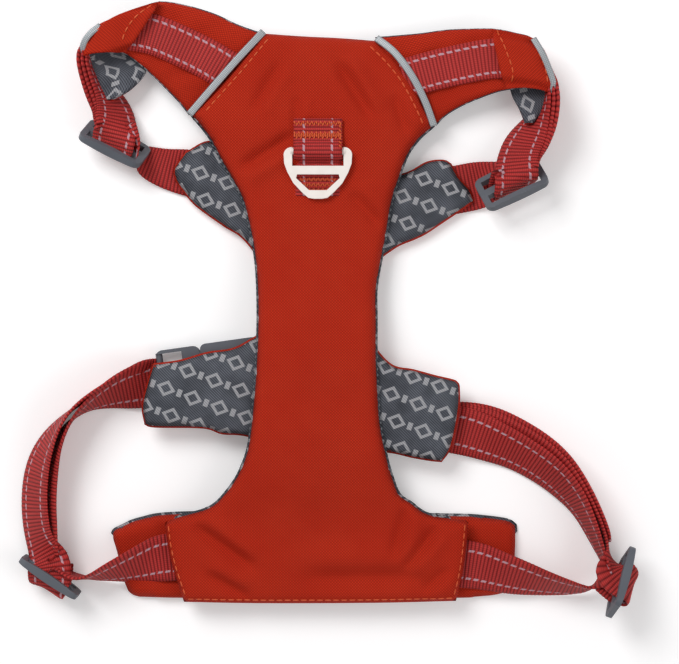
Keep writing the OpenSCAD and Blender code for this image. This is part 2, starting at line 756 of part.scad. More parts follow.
module socket(at) {
    color(plastic_grey)
        translate(at[0])
            rotate(at[1])
                difference() {
                    union() {
                        translate([(socket_mouth + socket_end) / 2, 0, -buckle_h / 2])
                            linear_extrude(buckle_h)
                                rounded_box(socket_l, buckle_w, 3);
                        translate([socket_end - 4.5, 0, -buckle_bar_d / 2])
                            linear_extrude(buckle_bar_d)
                                rounded_box(13, buckle_w - 2, 2.5);
                    }
                    translate([socket_end + 3, -cavity_w / 2, -cavity_h / 2])
                        cube([socket_l, cavity_w, cavity_h]);
                    translate([window_end_x, -buckle_w, -cavity_h / 2])
                        cube([catch_x - window_end_x, 2 * buckle_w, cavity_h]);
                    translate([socket_bar_x - 1, -slot_l / 2, -buckle_h])
                        cube([socket_end - socket_bar_x + 0.2, slot_l, 2 * buckle_h]);
                    translate([socket_bar_x - 8, -slot_l / 2, -buckle_h])
                        cube([8, slot_l, 2 * buckle_h]);
                }
    color(plastic_grey)
        translate(at[0])
            rotate(at[1])
                translate([socket_bar_x, 0, 0])
                    rotate([90, 0, 0])
                        cylinder(d = buckle_bar_d, h = slot_l + 1, center = true);
}

module insert(at) {
    color(plastic_grey)
        translate(at[0])
            rotate(at[1]) {
                difference() {
                    union() {
                        translate([(socket_mouth + play + male_bar_x + 2) / 2, 0, -prong_h / 2])
                            linear_extrude(prong_h)
                                rounded_box(male_bar_x + 2 - socket_mouth - play, buckle_w - 0.6, 4);
                        translate([window_end_x, -2, -prong_h / 4])
                            cube([prong_root_x - window_end_x, 4, prong_h / 2]);
                    }
                    translate([13, -slot_l / 2, -buckle_h])
                        cube([male_bar_x - 13, slot_l, 2 * buckle_h]);
                    translate([male_bar_x - 2, -slot_l / 2, -buckle_h])
                        cube([8, slot_l, 2 * buckle_h]);
                    for (side = [-1, 1]) {
                        translate([prong_root_x, side * prong_y, -buckle_h])
                            cylinder(r = prong_w / 2 + 0.9 + play, h = 2 * buckle_h);
                        translate([socket_mouth - 2, side * prong_y - prong_w / 2 - 1.2, -buckle_h])
                            cube([prong_root_x - socket_mouth + 2, prong_w + 2.4, 2 * buckle_h]);
                    }
                }
                translate([male_bar_x, 0, 0])
                    rotate([90, 0, 0])
                        cylinder(d = buckle_bar_d, h = slot_l + 1, center = true);
            }
}

// An arm with a round root, and a barb that rests behind the catch of the socket's window
module prong(at, side) {
    catch_y = buckle_w / 2 - 0.4;
    color(plastic_grey)
        translate(at[0])
            rotate(at[1])
                mirror([0, side < 0 ? 1 : 0, 0])
                    translate([0, 0, -prong_h / 2])
                        linear_extrude(prong_h) {
                            translate([prong_root_x, prong_y])
                                circle(r = prong_w / 2 + 0.9);
                            polygon([[prong_root_x, prong_y - prong_w / 2],
                                     [prong_root_x, prong_y + prong_w / 2],
                                     [catch_x - play, prong_y + prong_w / 2],
                                     [catch_x - play, catch_y - 1.5],
                                     [catch_x - 4, catch_y],
                                     [window_end_x + 3, prong_y + prong_w / 2],
                                     [window_end_x + 2, prong_y - prong_w / 2]]);
                        }
}

// ---- Assembly ----

back_panel_cover();
back_panel_foam();
back_panel_lining();
belly_pad_cover();
belly_pad_foam();
belly_pad_lining();
chest_panel_cover();
chest_panel_foam();
chest_panel_lining();
leash_webbing();
leash_webbing_stitching();
leash_ring();
chest_leash_webbing();
chest_leash_ring();
left_neck_piping();
right_neck_piping();
sleeve_cover(left_sleeve_route);  // left_sleeve_cover
sleeve_cover(right_sleeve_route);  // right_sleeve_cover
sleeve_lining(left_sleeve_route);  // left_sleeve_lining
sleeve_lining(right_sleeve_route);  // right_sleeve_lining
shoulder_webbing(left_sleeve_route);  // left_shoulder_webbing
shoulder_webbing(right_sleeve_route);  // right_shoulder_webbing
shoulder_cap(left_sleeve_route);  // left_shoulder_cap
shoulder_cap(right_sleeve_route);  // right_shoulder_cap
cap_piping(left_sleeve_route);  // left_cap_piping
cap_piping(right_sleeve_route);  // right_cap_piping
left_shoulder_strap();
right_shoulder_strap();
slider(left_shoulder_slider_at);  // left_shoulder_slider
slider(right_shoulder_slider_at);  // right_shoulder_slider
left_belly_strap();
right_belly_strap();
slider(left_belly_slider_at);  // left_belly_slider
slider(right_belly_slider_at);  // right_belly_slider
buckle_tab(left_buckle_at);  // left_buckle_tab
buckle_tab(right_buckle_at);  // right_buckle_tab
socket(left_buckle_at);  // left_buckle_socket
socket(right_buckle_at);  // right_buckle_socket
insert(left_buckle_at);  // left_buckle_insert
insert(right_buckle_at);  // right_buckle_insert
prong(left_buckle_at, -1);  // left_buckle_front_prong
prong(right_buckle_at, 1);  // right_buckle_front_prong
prong(left_buckle_at, 1);  // left_buckle_rear_prong
prong(right_buckle_at, -1);  // right_buckle_rear_prong
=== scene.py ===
import math
from functools import partial

import bpy
import numpy as np
from mathutils import Euler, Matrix, Vector, geometry, noise
from mathutils.bvhtree import BVHTree


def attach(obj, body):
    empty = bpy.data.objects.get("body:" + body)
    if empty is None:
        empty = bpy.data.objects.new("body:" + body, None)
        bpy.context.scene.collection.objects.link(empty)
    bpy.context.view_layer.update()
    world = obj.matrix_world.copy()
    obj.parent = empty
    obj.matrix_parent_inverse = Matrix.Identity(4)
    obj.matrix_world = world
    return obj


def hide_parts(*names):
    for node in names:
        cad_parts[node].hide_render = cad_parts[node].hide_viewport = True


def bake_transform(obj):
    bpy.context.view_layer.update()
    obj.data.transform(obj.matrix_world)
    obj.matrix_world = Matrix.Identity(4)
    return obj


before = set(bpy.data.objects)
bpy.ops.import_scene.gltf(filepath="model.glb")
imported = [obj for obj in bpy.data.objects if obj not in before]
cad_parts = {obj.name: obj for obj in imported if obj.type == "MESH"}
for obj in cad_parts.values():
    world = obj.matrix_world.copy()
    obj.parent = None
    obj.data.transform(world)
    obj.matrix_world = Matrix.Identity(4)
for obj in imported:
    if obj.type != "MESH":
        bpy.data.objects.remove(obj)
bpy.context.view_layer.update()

# ---- Studio ----
# A pale table under wide soft light, with the camera straight above the harness. The table has a
# faint glow that only the camera sees, which keeps it white and puts no light on the cloth.

MM = 0.001
AIM_X, AIM_Y = 11.2, -14.6
CAMERA_HEIGHT = 1.115
TABLE_GLOW = 0.15
TABLE_SIZE, TABLE_DROP = 12, 0.0002
SKY_LIGHT, SKY_SEEN = 0.4, 1.0
LAMPS = (
    ("window", (-0.58, 0.68, 1.06), 0.65, 11.4),
    ("fill", (1.0, -0.45, 0.95), 0.9, 5.0),
)

camera = bpy.data.objects.new("camera", bpy.data.cameras.new("camera"))
bpy.context.scene.collection.objects.link(camera)
bpy.context.scene.camera = camera
camera.location = (AIM_X * MM, AIM_Y * MM, CAMERA_HEIGHT)
camera.data.lens = 112
camera.data.clip_start = 0.05
bpy.context.scene.view_settings.view_transform = "Standard"


def dye(red, green, blue):
    """A colour as it looks on a screen, 0 to 255, in the numbers that a shader takes."""
    return tuple(((c / 255 + 0.055) / 1.055) ** 2.4 for c in (red, green, blue)) + (1.0,)


def add(material, kind, wires=None, **settings):
    """A shader node with its settings. wires maps its inputs to sockets or plain values."""
    node = material.node_tree.nodes.new("ShaderNode" + kind)
    for key, value in settings.items():
        setattr(node, key, value)
    for socket, source in (wires or {}).items():
        if isinstance(source, bpy.types.NodeSocket):
            material.node_tree.links.new(source, node.inputs[socket])
        else:
            node.inputs[socket].default_value = source
    return node


def finish_of(name, **looks):
    """A new material whose shader has these plain looks."""
    material = bpy.data.materials.new(name)
    material.use_nodes = True
    shader = material.node_tree.nodes["Principled BSDF"]
    for key, value in looks.items():
        shader.inputs[key.replace("_", " ")].default_value = value
    return material, shader


floor_finish, floor_shader = finish_of("table", Roughness=0.9)
floor_shader.inputs["Base Color"].default_value = (0.985, 0.975, 0.978, 1)
floor_shader.inputs["Specular IOR Level"].default_value = 0.0
floor_shader.inputs["Emission Color"].default_value = (1, 1, 1, 1)
from_camera = add(floor_finish, "LightPath").outputs["Is Camera Ray"]
glow = add(floor_finish, "Math", {0: from_camera, 1: TABLE_GLOW}, operation="MULTIPLY")
floor_finish.node_tree.links.new(glow.outputs[0], floor_shader.inputs["Emission Strength"])
bpy.ops.mesh.primitive_plane_add(size=TABLE_SIZE, location=(0, 0, -TABLE_DROP))
floor = bpy.context.object
floor.name = "table"
floor.data.materials.append(floor_finish)

world = bpy.data.worlds.new("studio")
bpy.context.scene.world = world
world.use_nodes = True
sky = world.node_tree.nodes["Background"]
sky.inputs["Color"].default_value = (1, 1, 1, 1)
from_camera = add(world, "LightPath").outputs["Is Camera Ray"]
bright = add(world, "Mix", {0: from_camera, 2: SKY_LIGHT, 3: SKY_SEEN})
world.node_tree.links.new(bright.outputs[0], sky.inputs["Strength"])

for name, spot, size, power in LAMPS:
    lamp = bpy.data.objects.new(name, bpy.data.lights.new(name, "AREA"))
    bpy.context.scene.collection.objects.link(lamp)
    lamp.location = spot
    lamp.rotation_euler = (Vector((0, 0, 0)) - Vector(spot)).to_track_quat("-Z", "Y").to_euler()
    lamp.data.size = size
    lamp.data.energy = power

# ---- Cloths and webbing, as they come from the mill ----
# Rust red polyester shell with a diagonal weave, ribbed red webbing, a printed grey lining, thread
# and reflective tape. Every cloth has a UV map in metres, along and across, so its weave keeps its
# size on every piece.

WEAVE = 1.5
RIB = 1.9
LINE_AT, LINE_HALF = 7.2, 0.56
DASH_HALF, DASH_SHOWN = 2.2, 1.4
PRINT_TILT = math.radians(-20)
PRINT_ROW, PRINT_STEP = 12.4, 7.4
DIAMOND, DIAMOND_LINE, DIAMOND_LINE_HALF = (5.2, 4.4), 0.78, 0.22
BAR_FROM, BAR_HALF = 6.1, 2.0
TAPE_CELL = 0.9


def calc(material, operation, *values):
    """One step of arithmetic on sockets or plain values."""
    return add(material, "Math", dict(enumerate(values)), operation=operation).outputs[0]


def blend(material, share, first, second):
    """A colour between two, by a share from 0 to 1."""
    return add(material, "Mix", {0: share, 6: first, 7: second}, data_type="RGBA").outputs[2]


def cloth_place(material):
    """Where a point lies on its cloth: along and across, in millimetres."""
    place = add(material, "SeparateXYZ", {0: add(material, "UVMap").outputs[0]})
    return tuple(calc(material, "MULTIPLY", place.outputs[i], 1 / MM) for i in (0, 1))


def speckle(material, scale, detail=2.0):
    """Soft uneven patches over a piece, from 0 to 1."""
    spot = add(material, "TexCoord").outputs["Object"]
    return add(material, "TexNoise", {"Vector": spot, "Scale": scale, "Detail": detail}).outputs["Fac"]


def raise_bump(material, shader, height, depth, strength=1.0):
    """Bump whose full height is depth, in metres."""
    bump = add(material, "Bump", {"Height": height, "Distance": depth, "Strength": strength})
    material.node_tree.links.new(bump.outputs[0], shader.inputs["Normal"])


def paint(material, shader, colour):
    """Gives the shader its colour from a socket."""
    material.node_tree.links.new(colour, shader.inputs["Base Color"])


def wave(material, value, pitch):
    """A ridge from 0 to 1 that repeats every pitch millimetres."""
    turn = calc(material, "MULTIPLY", value, math.pi / pitch)
    return calc(material, "ABSOLUTE", calc(material, "SINE", turn))


def shell_cloth():
    """Rust red cloth with a coarse diagonal weave, darker in its gaps."""
    material, shader = finish_of("shell_cloth", Roughness=0.85, Specular_IOR_Level=0.12)
    do = partial(calc, material)
    along, across = cloth_place(material)
    rising = wave(material, do("ADD", along, across), WEAVE)
    falling = wave(material, do("SUBTRACT", along, across), WEAVE)
    weave = do("MULTIPLY", rising, falling)
    patches = speckle(material, 38.0, 4.0)
    body = blend(material, patches, dye(198, 44, 20), dye(216, 60, 32))
    gaps = do("SUBTRACT", 1.0, weave)
    colour = blend(material, do("MULTIPLY", gaps, 0.72), body, dye(112, 14, 7))
    paint(material, shader, colour)
    raise_bump(material, shader, weave, 0.0003, 0.8)
    return material


red_shell = shell_cloth()


def webbing_cloth(name, light, deep, marked=True):
    """Ribbed webbing. Its front has two broken reflective lines, and its back has none."""
    material, shader = finish_of(name, Roughness=0.6, Specular_IOR_Level=0.25)
    do = partial(calc, material)
    along, across = cloth_place(material)
    rib = wave(material, along, RIB)
    lean = do("ADD", across, do("MULTIPLY", wave(material, along, 2 * RIB), 0.35))
    thread = do("MULTIPLY", wave(material, lean, 1.1), 0.55)
    knit = do("MULTIPLY", rib, do("ADD", thread, 0.45))
    body = blend(material, speckle(material, 60.0), light, blend(material, 0.35, light, deep))
    colour = blend(material, do("POWER", knit, 0.8), deep, body)
    if marked:
        from_line = do("ABSOLUTE", do("SUBTRACT", do("ABSOLUTE", across), LINE_AT))
        on_line = do("LESS_THAN", from_line, LINE_HALF)
        slant = do("ADD", along, do("MULTIPLY", across, 0.6))
        dash = do("LESS_THAN", do("PINGPONG", slant, DASH_HALF), DASH_SHOWN)
        mark = do("MULTIPLY", on_line, dash)
        colour = blend(material, mark, colour, dye(192, 150, 160))
    paint(material, shader, colour)
    raise_bump(material, shader, knit, 0.0004, 0.9)
    return material


red_webbing = webbing_cloth("webbing", dye(212, 60, 57), dye(88, 5, 8))
band_webbing = webbing_cloth("sleeve_band", dye(210, 64, 60), dye(106, 10, 12))


def lining_cloth():
    """Ribbed grey lining, printed with open diamonds and small bars in half drop rows."""
    material, shader = finish_of("lining_cloth", Roughness=0.85, Specular_IOR_Level=0.2)
    do = partial(calc, material)
    along, across = cloth_place(material)
    turn_cos, turn_sin = math.cos(PRINT_TILT), math.sin(PRINT_TILT)
    u = do("ADD", do("MULTIPLY", along, turn_cos), do("MULTIPLY", across, turn_sin))
    v = do("SUBTRACT", do("MULTIPLY", across, turn_cos), do("MULTIPLY", along, turn_sin))
    rows = do("DIVIDE", v, PRINT_ROW)
    odd = do("MODULO", do("ABSOLUTE", do("FLOOR", rows)), 2.0)
    x = do("PINGPONG", do("ADD", u, do("MULTIPLY", odd, PRINT_STEP)), PRINT_STEP)
    y = do("SUBTRACT", do("MULTIPLY", do("FRACT", rows), PRINT_ROW), PRINT_ROW / 2)
    y = do("ABSOLUTE", y)
    reach = do("ADD", do("DIVIDE", x, DIAMOND[0]), do("DIVIDE", y, DIAMOND[1]))
    from_line = do("ABSOLUTE", do("SUBTRACT", reach, DIAMOND_LINE))
    diamond = do("LESS_THAN", from_line, DIAMOND_LINE_HALF)
    bar = do("MULTIPLY", do("GREATER_THAN", x, BAR_FROM), do("LESS_THAN", y, BAR_HALF))
    mark = do("MAXIMUM", diamond, bar)
    rib = wave(material, do("ADD", along, across), WEAVE)
    worn = do("MULTIPLY", mark, do("ADD", do("MULTIPLY", rib, 0.5), 0.5))
    shade = do("MULTIPLY", rib, speckle(material, 90.0))
    body = blend(material, shade, dye(38, 40, 46), dye(122, 126, 136))
    paint(material, shader, blend(material, worn, body, dye(170, 170, 174)))
    raise_bump(material, shader, rib, 0.0003, 0.8)
    return material


grey_lining = lining_cloth()


def thread_finish(name, colour):
    """Sewing thread, with a fine twist."""
    material, shader = finish_of(name, Roughness=0.5)
    spot = add(material, "TexCoord").outputs["Object"]
    twist = add(material, "TexWave", {"Vector": spot, "Scale": 900.0, "Distortion": 1.5}).outputs["Fac"]
    paint(material, shader, blend(material, twist, tuple(c * 0.7 for c in colour[:3]) + (1.0,), colour))
    raise_bump(material, shader, twist, 0.00008, 0.6)
    return material


orange_thread = thread_finish("orange_thread", dye(232, 96, 44))
crimson_thread = thread_finish("crimson_thread", dye(216, 84, 36))


def piping_finish():
    """Reflective tape: fine grey squares with a soft sheen."""
    material, shader = finish_of("reflective_tape", Roughness=0.42, Metallic=0.25)
    along, across = cloth_place(material)
    cells = calc(material, "MULTIPLY", wave(material, along, TAPE_CELL), wave(material, across, TAPE_CELL))
    paint(material, shader, blend(material, cells, dye(128, 133, 138), dye(190, 194, 196)))
    raise_bump(material, shader, cells, 0.00012, 0.5)
    return material


reflective = piping_finish()

# ---- Back panel ----
# A long padded saddle that narrows at the waist and ends in a wide hem over the belly pad.
# It is sewn together at its edge, so the foam swells between the seams.


def spline(points, step, loose=False):
    """Points about step apart on a smooth curve through the given ones, or loosely past them."""
    p = np.array(points, float)
    q = np.vstack([2 * p[0] - p[1], p, 2 * p[-1] - p[-2]])
    out = []
    for a, b, c, d in zip(q, q[1:], q[2:], q[3:]):
        count = max(1, round(float(np.linalg.norm((c - b)[:3])) / step))
        for t in np.arange(count) / count:
            if loose:
                out.append(((1 - t) ** 3 * a + (3 * t**3 - 6 * t**2 + 4) * b
                            + (3 * t + 3 * t**2 - 3 * t**3 + 1) * c + t**3 * d) / 6)
            else:
                out.append(0.5 * (2 * b + (c - a) * t + (2 * a - 5 * b + 4 * c - d) * t * t
                                  + (3 * b - a - 3 * c + d) * t**3))
    return np.array(out + [p[-1]])


def outline_of(runs, step=1.6):
    """One closed outline from smooth runs that meet at corners."""
    return np.vstack([spline(run, step)[:-1] for run in runs])


def edge_gap(points, edge):
    """How far each point lies from an outline."""
    best = np.full(len(points), 1e9)
    for a, b in zip(edge, np.roll(edge, -1, 0)):
        along = b - a
        share = np.clip(((points - a) @ along) / max(along @ along, 1e-9), 0, 1)
        best = np.minimum(best, np.linalg.norm(points - a - share[:, None] * along, axis=1))
    return best


def within(points, edge):
    """Which points lie inside an outline."""
    hit = np.zeros(len(points), bool)
    x, y = points.T
    for (ax, ay), (bx, by) in zip(edge, np.roll(edge, -1, 0)):
        cuts = (ay > y) != (by > y)
        with np.errstate(divide="ignore", invalid="ignore"):
            hit ^= cuts & (x < (bx - ax) * (y - ay) / (by - ay) + ax)
    return hit


def mesh_object(name, points, faces, places, finish, body="harness"):
    """A smooth piece from points in millimetres. places holds one UV pair per face corner. A piece that
    crosses a joint has no body. No point is left below the table, where soft webbing would lie flat."""
    mesh = bpy.data.meshes.new(name)
    points = np.array(points, float)
    points[:, 2] = np.maximum(points[:, 2], 0.0)
    mesh.from_pydata(points * MM, [], faces)
    layer = mesh.uv_layers.new(name="cloth")
    layer.data.foreach_set("uv", (np.asarray(places, float) * MM).ravel())
    mesh.materials.append(finish)
    mesh.validate()
    mesh.shade_smooth()
    piece = bpy.data.objects.new(name, mesh)
    bpy.context.scene.collection.objects.link(piece)
    if body:
        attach(piece, body)
    return piece


def pad(name, edge, heights, finish, step=2.0):
    """A closed pad over an outline. heights gives the low and high side of points and their gaps."""
    row_step, clear = step * 0.866, step * 0.55
    low, high = edge.min(0), edge.max(0)
    rows = [
        (x, y)
        for j, y in enumerate(np.arange(low[1], high[1], row_step))
        for x in np.arange(low[0] + (j % 2) * step / 2, high[0], step)
    ]
    inner = np.array(rows)
    inner = inner[within(inner, edge)]
    inner = inner[edge_gap(inner, edge) > clear]
    flat = np.vstack([edge, inner])
    ring = [(i, (i + 1) % len(edge)) for i in range(len(edge))]
    found = geometry.delaunay_2d_cdt([Vector(p) for p in flat], ring, [], 1, 1e-4)
    flat, tris = np.array([tuple(v) for v in found[0]]), [tuple(f) for f in found[2]]
    gaps = edge_gap(flat, edge)
    under, over = heights(flat, gaps)
    rim = gaps < 1e-3
    twin = np.arange(len(flat)) + len(flat)
    twin[rim] = np.flatnonzero(rim)
    keep = np.concatenate([np.ones(len(flat), bool), ~rim])
    number = np.cumsum(keep) - 1
    points = np.vstack([np.column_stack([flat, over]), np.column_stack([flat, under])])[keep]
    points[:len(flat)][rim, 2] = ((under + over) / 2)[rim]
    first = tris[0]
    turn = np.cross(flat[first[1]] - flat[first[0]], flat[first[2]] - flat[first[0]])
    up = tris if turn > 0 else [t[::-1] for t in tris]
    faces = up + [tuple(int(number[twin[i]]) for i in t[::-1]) for t in up]
    back = {int(number[twin[i]]): i for i in range(len(flat))}
    places = [flat[i] for t in up for i in t] + [flat[back[i]] for t in faces[len(up):] for i in t]
    return mesh_object(name, points, faces, places, finish)


def creased(points, folds):
    """How deep sharp folds press into a surface, each with a low ridge beside it. A fold is its two
    ends, depth and half width."""
    depth = np.zeros(len(points))
    for ax, ay, bx, by, deep, wide in folds:
        a, along = np.array([ax, ay]), np.array([bx - ax, by - ay])
        share = ((points - a) @ along) / (along @ along)
        held = np.clip(share, 0, 1)
        away = np.linalg.norm(points - a - held[:, None] * along, axis=1)
        side = ((points - a) @ np.array([-along[1], along[0]])) / np.linalg.norm(along)
        fade = np.clip(1.15 - np.abs(2 * held - 1) ** 3, 0, 1)
        valley = np.exp(-((away / wide) ** 2))
        ridge = np.exp(-(((side - 2.1 * wide) / (1.3 * wide)) ** 2))
        past_end = np.maximum(np.abs(share - 0.5) - 0.5, 0)
        depth += deep * fade * (valley - 0.55 * ridge * np.exp(-((past_end * 3) ** 2)))
    return depth


def rumple(points, scale, seed):
    """Soft unevenness of a hand-filled pad, from about -1 to 1."""
    return np.array([noise.noise(Vector((x / scale, y / scale, seed))) for x, y in points])


CLOTH = 1.5
BACK_FOAM, BACK_CROWN, BACK_FOLD_DEPTH = 5.2, 2.2, 3.3
SHOWN_CENTRE, SHOWN_HALF, TUCKED, ROLLED = -6, 106, -0.8, 1.1
ROLL_WIDTH, FLAT_LINING = 4, 0.2
BACK_LOW = np.array([
    (-165, 10.7), (-113.5, 10.7), (-88, 18.9), (-16.5, 18.9), (22, 10.2), (96, 10.2), (109, 7), (147, 5)])
back_runs = [
    [(-70, -155.5), (-30, -156.2), (30, -156), (72, -155)],
    [(72, -155), (75.5, -140), (77.5, -126), (78.5, -113)],
    [(78.5, -113), (58, -110), (48, -103.5), (42, -99), (38, -89), (35, -78), (32, -63), (31, -50), (30, -30),
     (30, -8), (30, 7), (32, 20), (35, 35), (38, 53), (43, 69), (47, 79), (53, 87), (60, 93)],
    [(60, 93), (55, 105.6), (48.2, 118.8), (39.8, 130.2), (31, 138)],
    [(31, 138), (12, 139.5), (-8, 140.5), (-29, 142)],
    [(-29, 142), (-42, 127), (-54, 113), (-66, 99)],
    [(-66, 99), (-57, 88), (-50, 75), (-42, 61), (-38, 51.5), (-33, 28), (-31, 2), (-31.5, -29), (-35, -69),
     (-39.5, -85), (-46, -96), (-56, -106), (-72, -111), (-80, -114)],
    [(-80, -114), (-78.5, -126), (-76, -137), (-70, -155.5)],
]
BACK_FOLDS = [
    (-19.2, 126.9, -34.3, 100.4, 0.7, 3.0), (9.7, 126.9, 28, 96.7, 1.2, 3.2),
    (40, 109.2, 45.8, 88.9, 0.8, 3.0), (-12.5, 87.9, -40.6, 70.2, 1.2, 3.4), (16.6, 58.2, 32.8, 40, 0.8, 3.2),
    (-10.9, 108.2, -11.4, 95.7, 0.6, 2.6), (-65.1, -114.9, -32.9, -137.6, 1.1, 3.2),
    (-59.3, -139.9, -35.4, -152.9, 0.9, 3.0), (45.8, -105.4, 38.7, -132.8, 0.9, 3.2),
    (62.4, -114.9, 44.7, -137.6, 1.0, 3.0), (67.4, -137.6, 54.3, -149.5, 0.8, 2.8),
    (-9.4, -142.5, 56.7, -142.5, 0.9, 5.0),
]


def smooth_line(table, y):
    """A bent line's height, rounded where it bends."""
    shifts = (-9, -4.5, 0, 4.5, 9)
    return sum(np.interp(y + shift, table[:, 0], table[:, 1]) for shift in shifts) / len(shifts)


def rounded(gaps, reach):
    """A rounded rim, from 0 at the seam to 1 at reach and further in."""
    return np.sqrt(1 - (1 - np.clip(gaps / reach, 0, 1)) ** 2)


def back_heights(points, gaps):
    low = smooth_line(BACK_LOW, points[:, 1])
    edge = rounded(gaps, 5.5)
    swell = 1 - np.exp(-gaps / 11)
    over = low + CLOTH + BACK_FOAM * edge + BACK_CROWN * swell
    over -= BACK_FOLD_DEPTH * creased(points, BACK_FOLDS) * edge
    over += (0.55 * rumple(points, 24, 3) + 0.22 * rumple(points, 9, 8)) * edge
    return low + CLOTH * (1 - edge), over


back_edge = outline_of(back_runs)
back_pad = pad("back_pad", back_edge, back_heights, red_shell, 1.9)
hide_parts("back_panel_cover", "back_panel_foam")


def grown(edge, amount):
    """An outline moved outwards, by one amount or one for each point. It runs anticlockwise."""
    heading = np.roll(edge, -4, 0) - np.roll(edge, 4, 0)
    out = np.column_stack([heading[:, 1], -heading[:, 0]])
    return edge + np.reshape(amount, (-1, 1)) * out / np.linalg.norm(out, axis=1)[:, None]


def back_lining_heights(points, gaps):
    seam, roll_height = 0.9, 1.5
    low = smooth_line(BACK_LOW, points[:, 1])
    roll = rounded(gaps, 1.3)
    over = low + seam + roll * np.where(gaps < ROLL_WIDTH, roll_height, FLAT_LINING)
    return low - 1.0 * roll + seam, over


shown = np.abs(back_edge[:, 1] - SHOWN_CENTRE) <= SHOWN_HALF
rolled_edge = grown(back_edge, np.where(shown, ROLLED, TUCKED))
back_lining = pad("back_lining", rolled_edge, back_lining_heights, grey_lining, 3.0)
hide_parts("back_panel_lining")

# ---- Belly pad ----
# A short wide foam pad under the hem, red above and lined in grey. Only its two rounded ends and
# its lining's edge show.

BELLY_SHOWN_FROM = -121
belly_runs = [
    [(-94, -154), (-70, -154.6), (0, -155), (72, -154.6), (83, -154)],
    [(83, -154), (93, -153), (101, -151)],
    [(101, -151), (102.5, -142), (103.5, -132), (103.8, -122), (103.5, -116.5)],
    [(103.5, -116.5), (99, -114), (83, -112), (68, -111.5), (0, -110), (-73, -110.5), (-94, -113.5),
     (-104, -117.5)],
    [(-104, -117.5), (-107.5, -119.5), (-108, -123), (-106, -130), (-104.5, -136), (-102.4, -145),
     (-100, -151)],
    [(-100, -151), (-97.5, -153), (-94, -154)],
]


def belly_heights(points, gaps):
    seam, foam, crown, under_hem, pressed = 2.6, 4.6, 0.7, 84, 7.2
    edge = rounded(gaps, 4.5)
    over = seam + foam * edge + crown * (1 - np.exp(-gaps / 8)) + 0.4 * rumple(points, 15, 5) * edge
    over = np.where(np.abs(points[:, 0]) < under_hem, np.minimum(over, pressed), over)
    return seam - 1.4 * edge, over


belly_edge = outline_of(belly_runs)
belly_pad = pad("belly_pad", belly_edge, belly_heights, red_shell, 2.4)
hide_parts("belly_pad_cover", "belly_pad_foam")


def belly_lining_heights(points, gaps):
    seam, roll_height = 1.2, 2.4
    roll = rounded(gaps, 1.6)
    return seam - 1.1 * roll, seam + roll * np.where(gaps < ROLL_WIDTH, roll_height, FLAT_LINING)


hidden = belly_edge[:, 1] < BELLY_SHOWN_FROM
rolled_edge = grown(belly_edge, np.where(hidden, TUCKED, 1.3))
belly_lining = pad("belly_lining", rolled_edge, belly_lining_heights, grey_lining, 3.0)
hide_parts("belly_pad_lining")

# ---- Chest panel ----
# The padded panel that lies under the dog's chest, red below and printed grey above. It hides under
# the saddle, and its four arms show beside it.

CHEST_TUCKED = -0.9
CHEST_LOW = np.array([(-95, 10.8), (-16.5, 10.8), (-7, 1.9), (115, 1.9)])
chest_runs = [
    [(-90.5, -63), (-85, -64.5), (-60, -65), (-50, -68), (-36, -69.5), (-10, -79), (12, -80), (34, -77.5),
     (50, -80.5), (59, -82), (64.5, -82.5)],
    [(64.5, -82.5), (69, -76), (72, -65), (74, -52), (74, -43)],
    [(74, -43), (72, -39.8), (61, -37), (50, -34), (38, -31), (28, -18), (26, 0), (28, 18), (40, 29),
     (51, 34), (57, 37), (66, 43), (75, 49), (82, 54)],
    [(82, 54), (80, 60), (74, 67), (70, 74)],
    [(70, 74), (66, 76), (57, 75), (45, 69), (25, 66.5), (-20, 68), (-42, 80), (-57, 86), (-70, 80)],
    [(-70, 80), (-76, 71), (-75, 64.5)],
    [(-75, 64.5), (-71, 59), (-64.5, 51.5), (-50, 41), (-39.5, 34), (-30, 20), (-26, 0), (-29, -13),
     (-36, -18.5), (-45, -23), (-58, -25), (-72, -29), (-86, -31)],
    [(-86, -31), (-89, -40), (-92, -53), (-90.5, -63)],
]


def chest_heights(points, gaps):
    seam, sag, rise = 2.6, 2.5, 2.6
    low = smooth_line(CHEST_LOW, points[:, 1])
    edge = rounded(gaps, 4.0)
    return low + seam - sag * edge, low + seam + rise * edge


def chest_lining_heights(points, gaps):
    under, seam, foam, crown = 4.0, 4.2, 2.2, 1.1
    low = smooth_line(CHEST_LOW, points[:, 1])
    edge = rounded(gaps, 4.5)
    swell = 1 - np.exp(-gaps / 9)
    uneven = 0.5 * rumple(points, 16, 2) + 0.2 * rumple(points, 6, 4)
    return low + under, low + seam + foam * edge + crown * swell + uneven * edge


chest_edge = outline_of(chest_runs)
chest_pad = pad("chest_pad", chest_edge, chest_heights, red_shell, 2.4)
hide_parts("chest_panel_cover", "chest_panel_foam")
tucked_edge = grown(chest_edge, CHEST_TUCKED)
chest_lining = pad("chest_lining", tucked_edge, chest_lining_heights, grey_lining, 2.2)
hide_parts("chest_panel_lining")

# ---- Leash webbing ----
# Two layers of webbing sewn to the back panel. The upper one goes round the ring's hinge bar, and
# blocks of zigzag stitching hold the webbing down on both sides of the ring.

WEBBING = 25
WEBBING_THICK = 1.5
RIB_HEIGHT, RIB_OUT, RIB_UP = 0.22, 0.9, 0.5
EDGE_FROM, EDGE_THIN = 0.99, 0.45


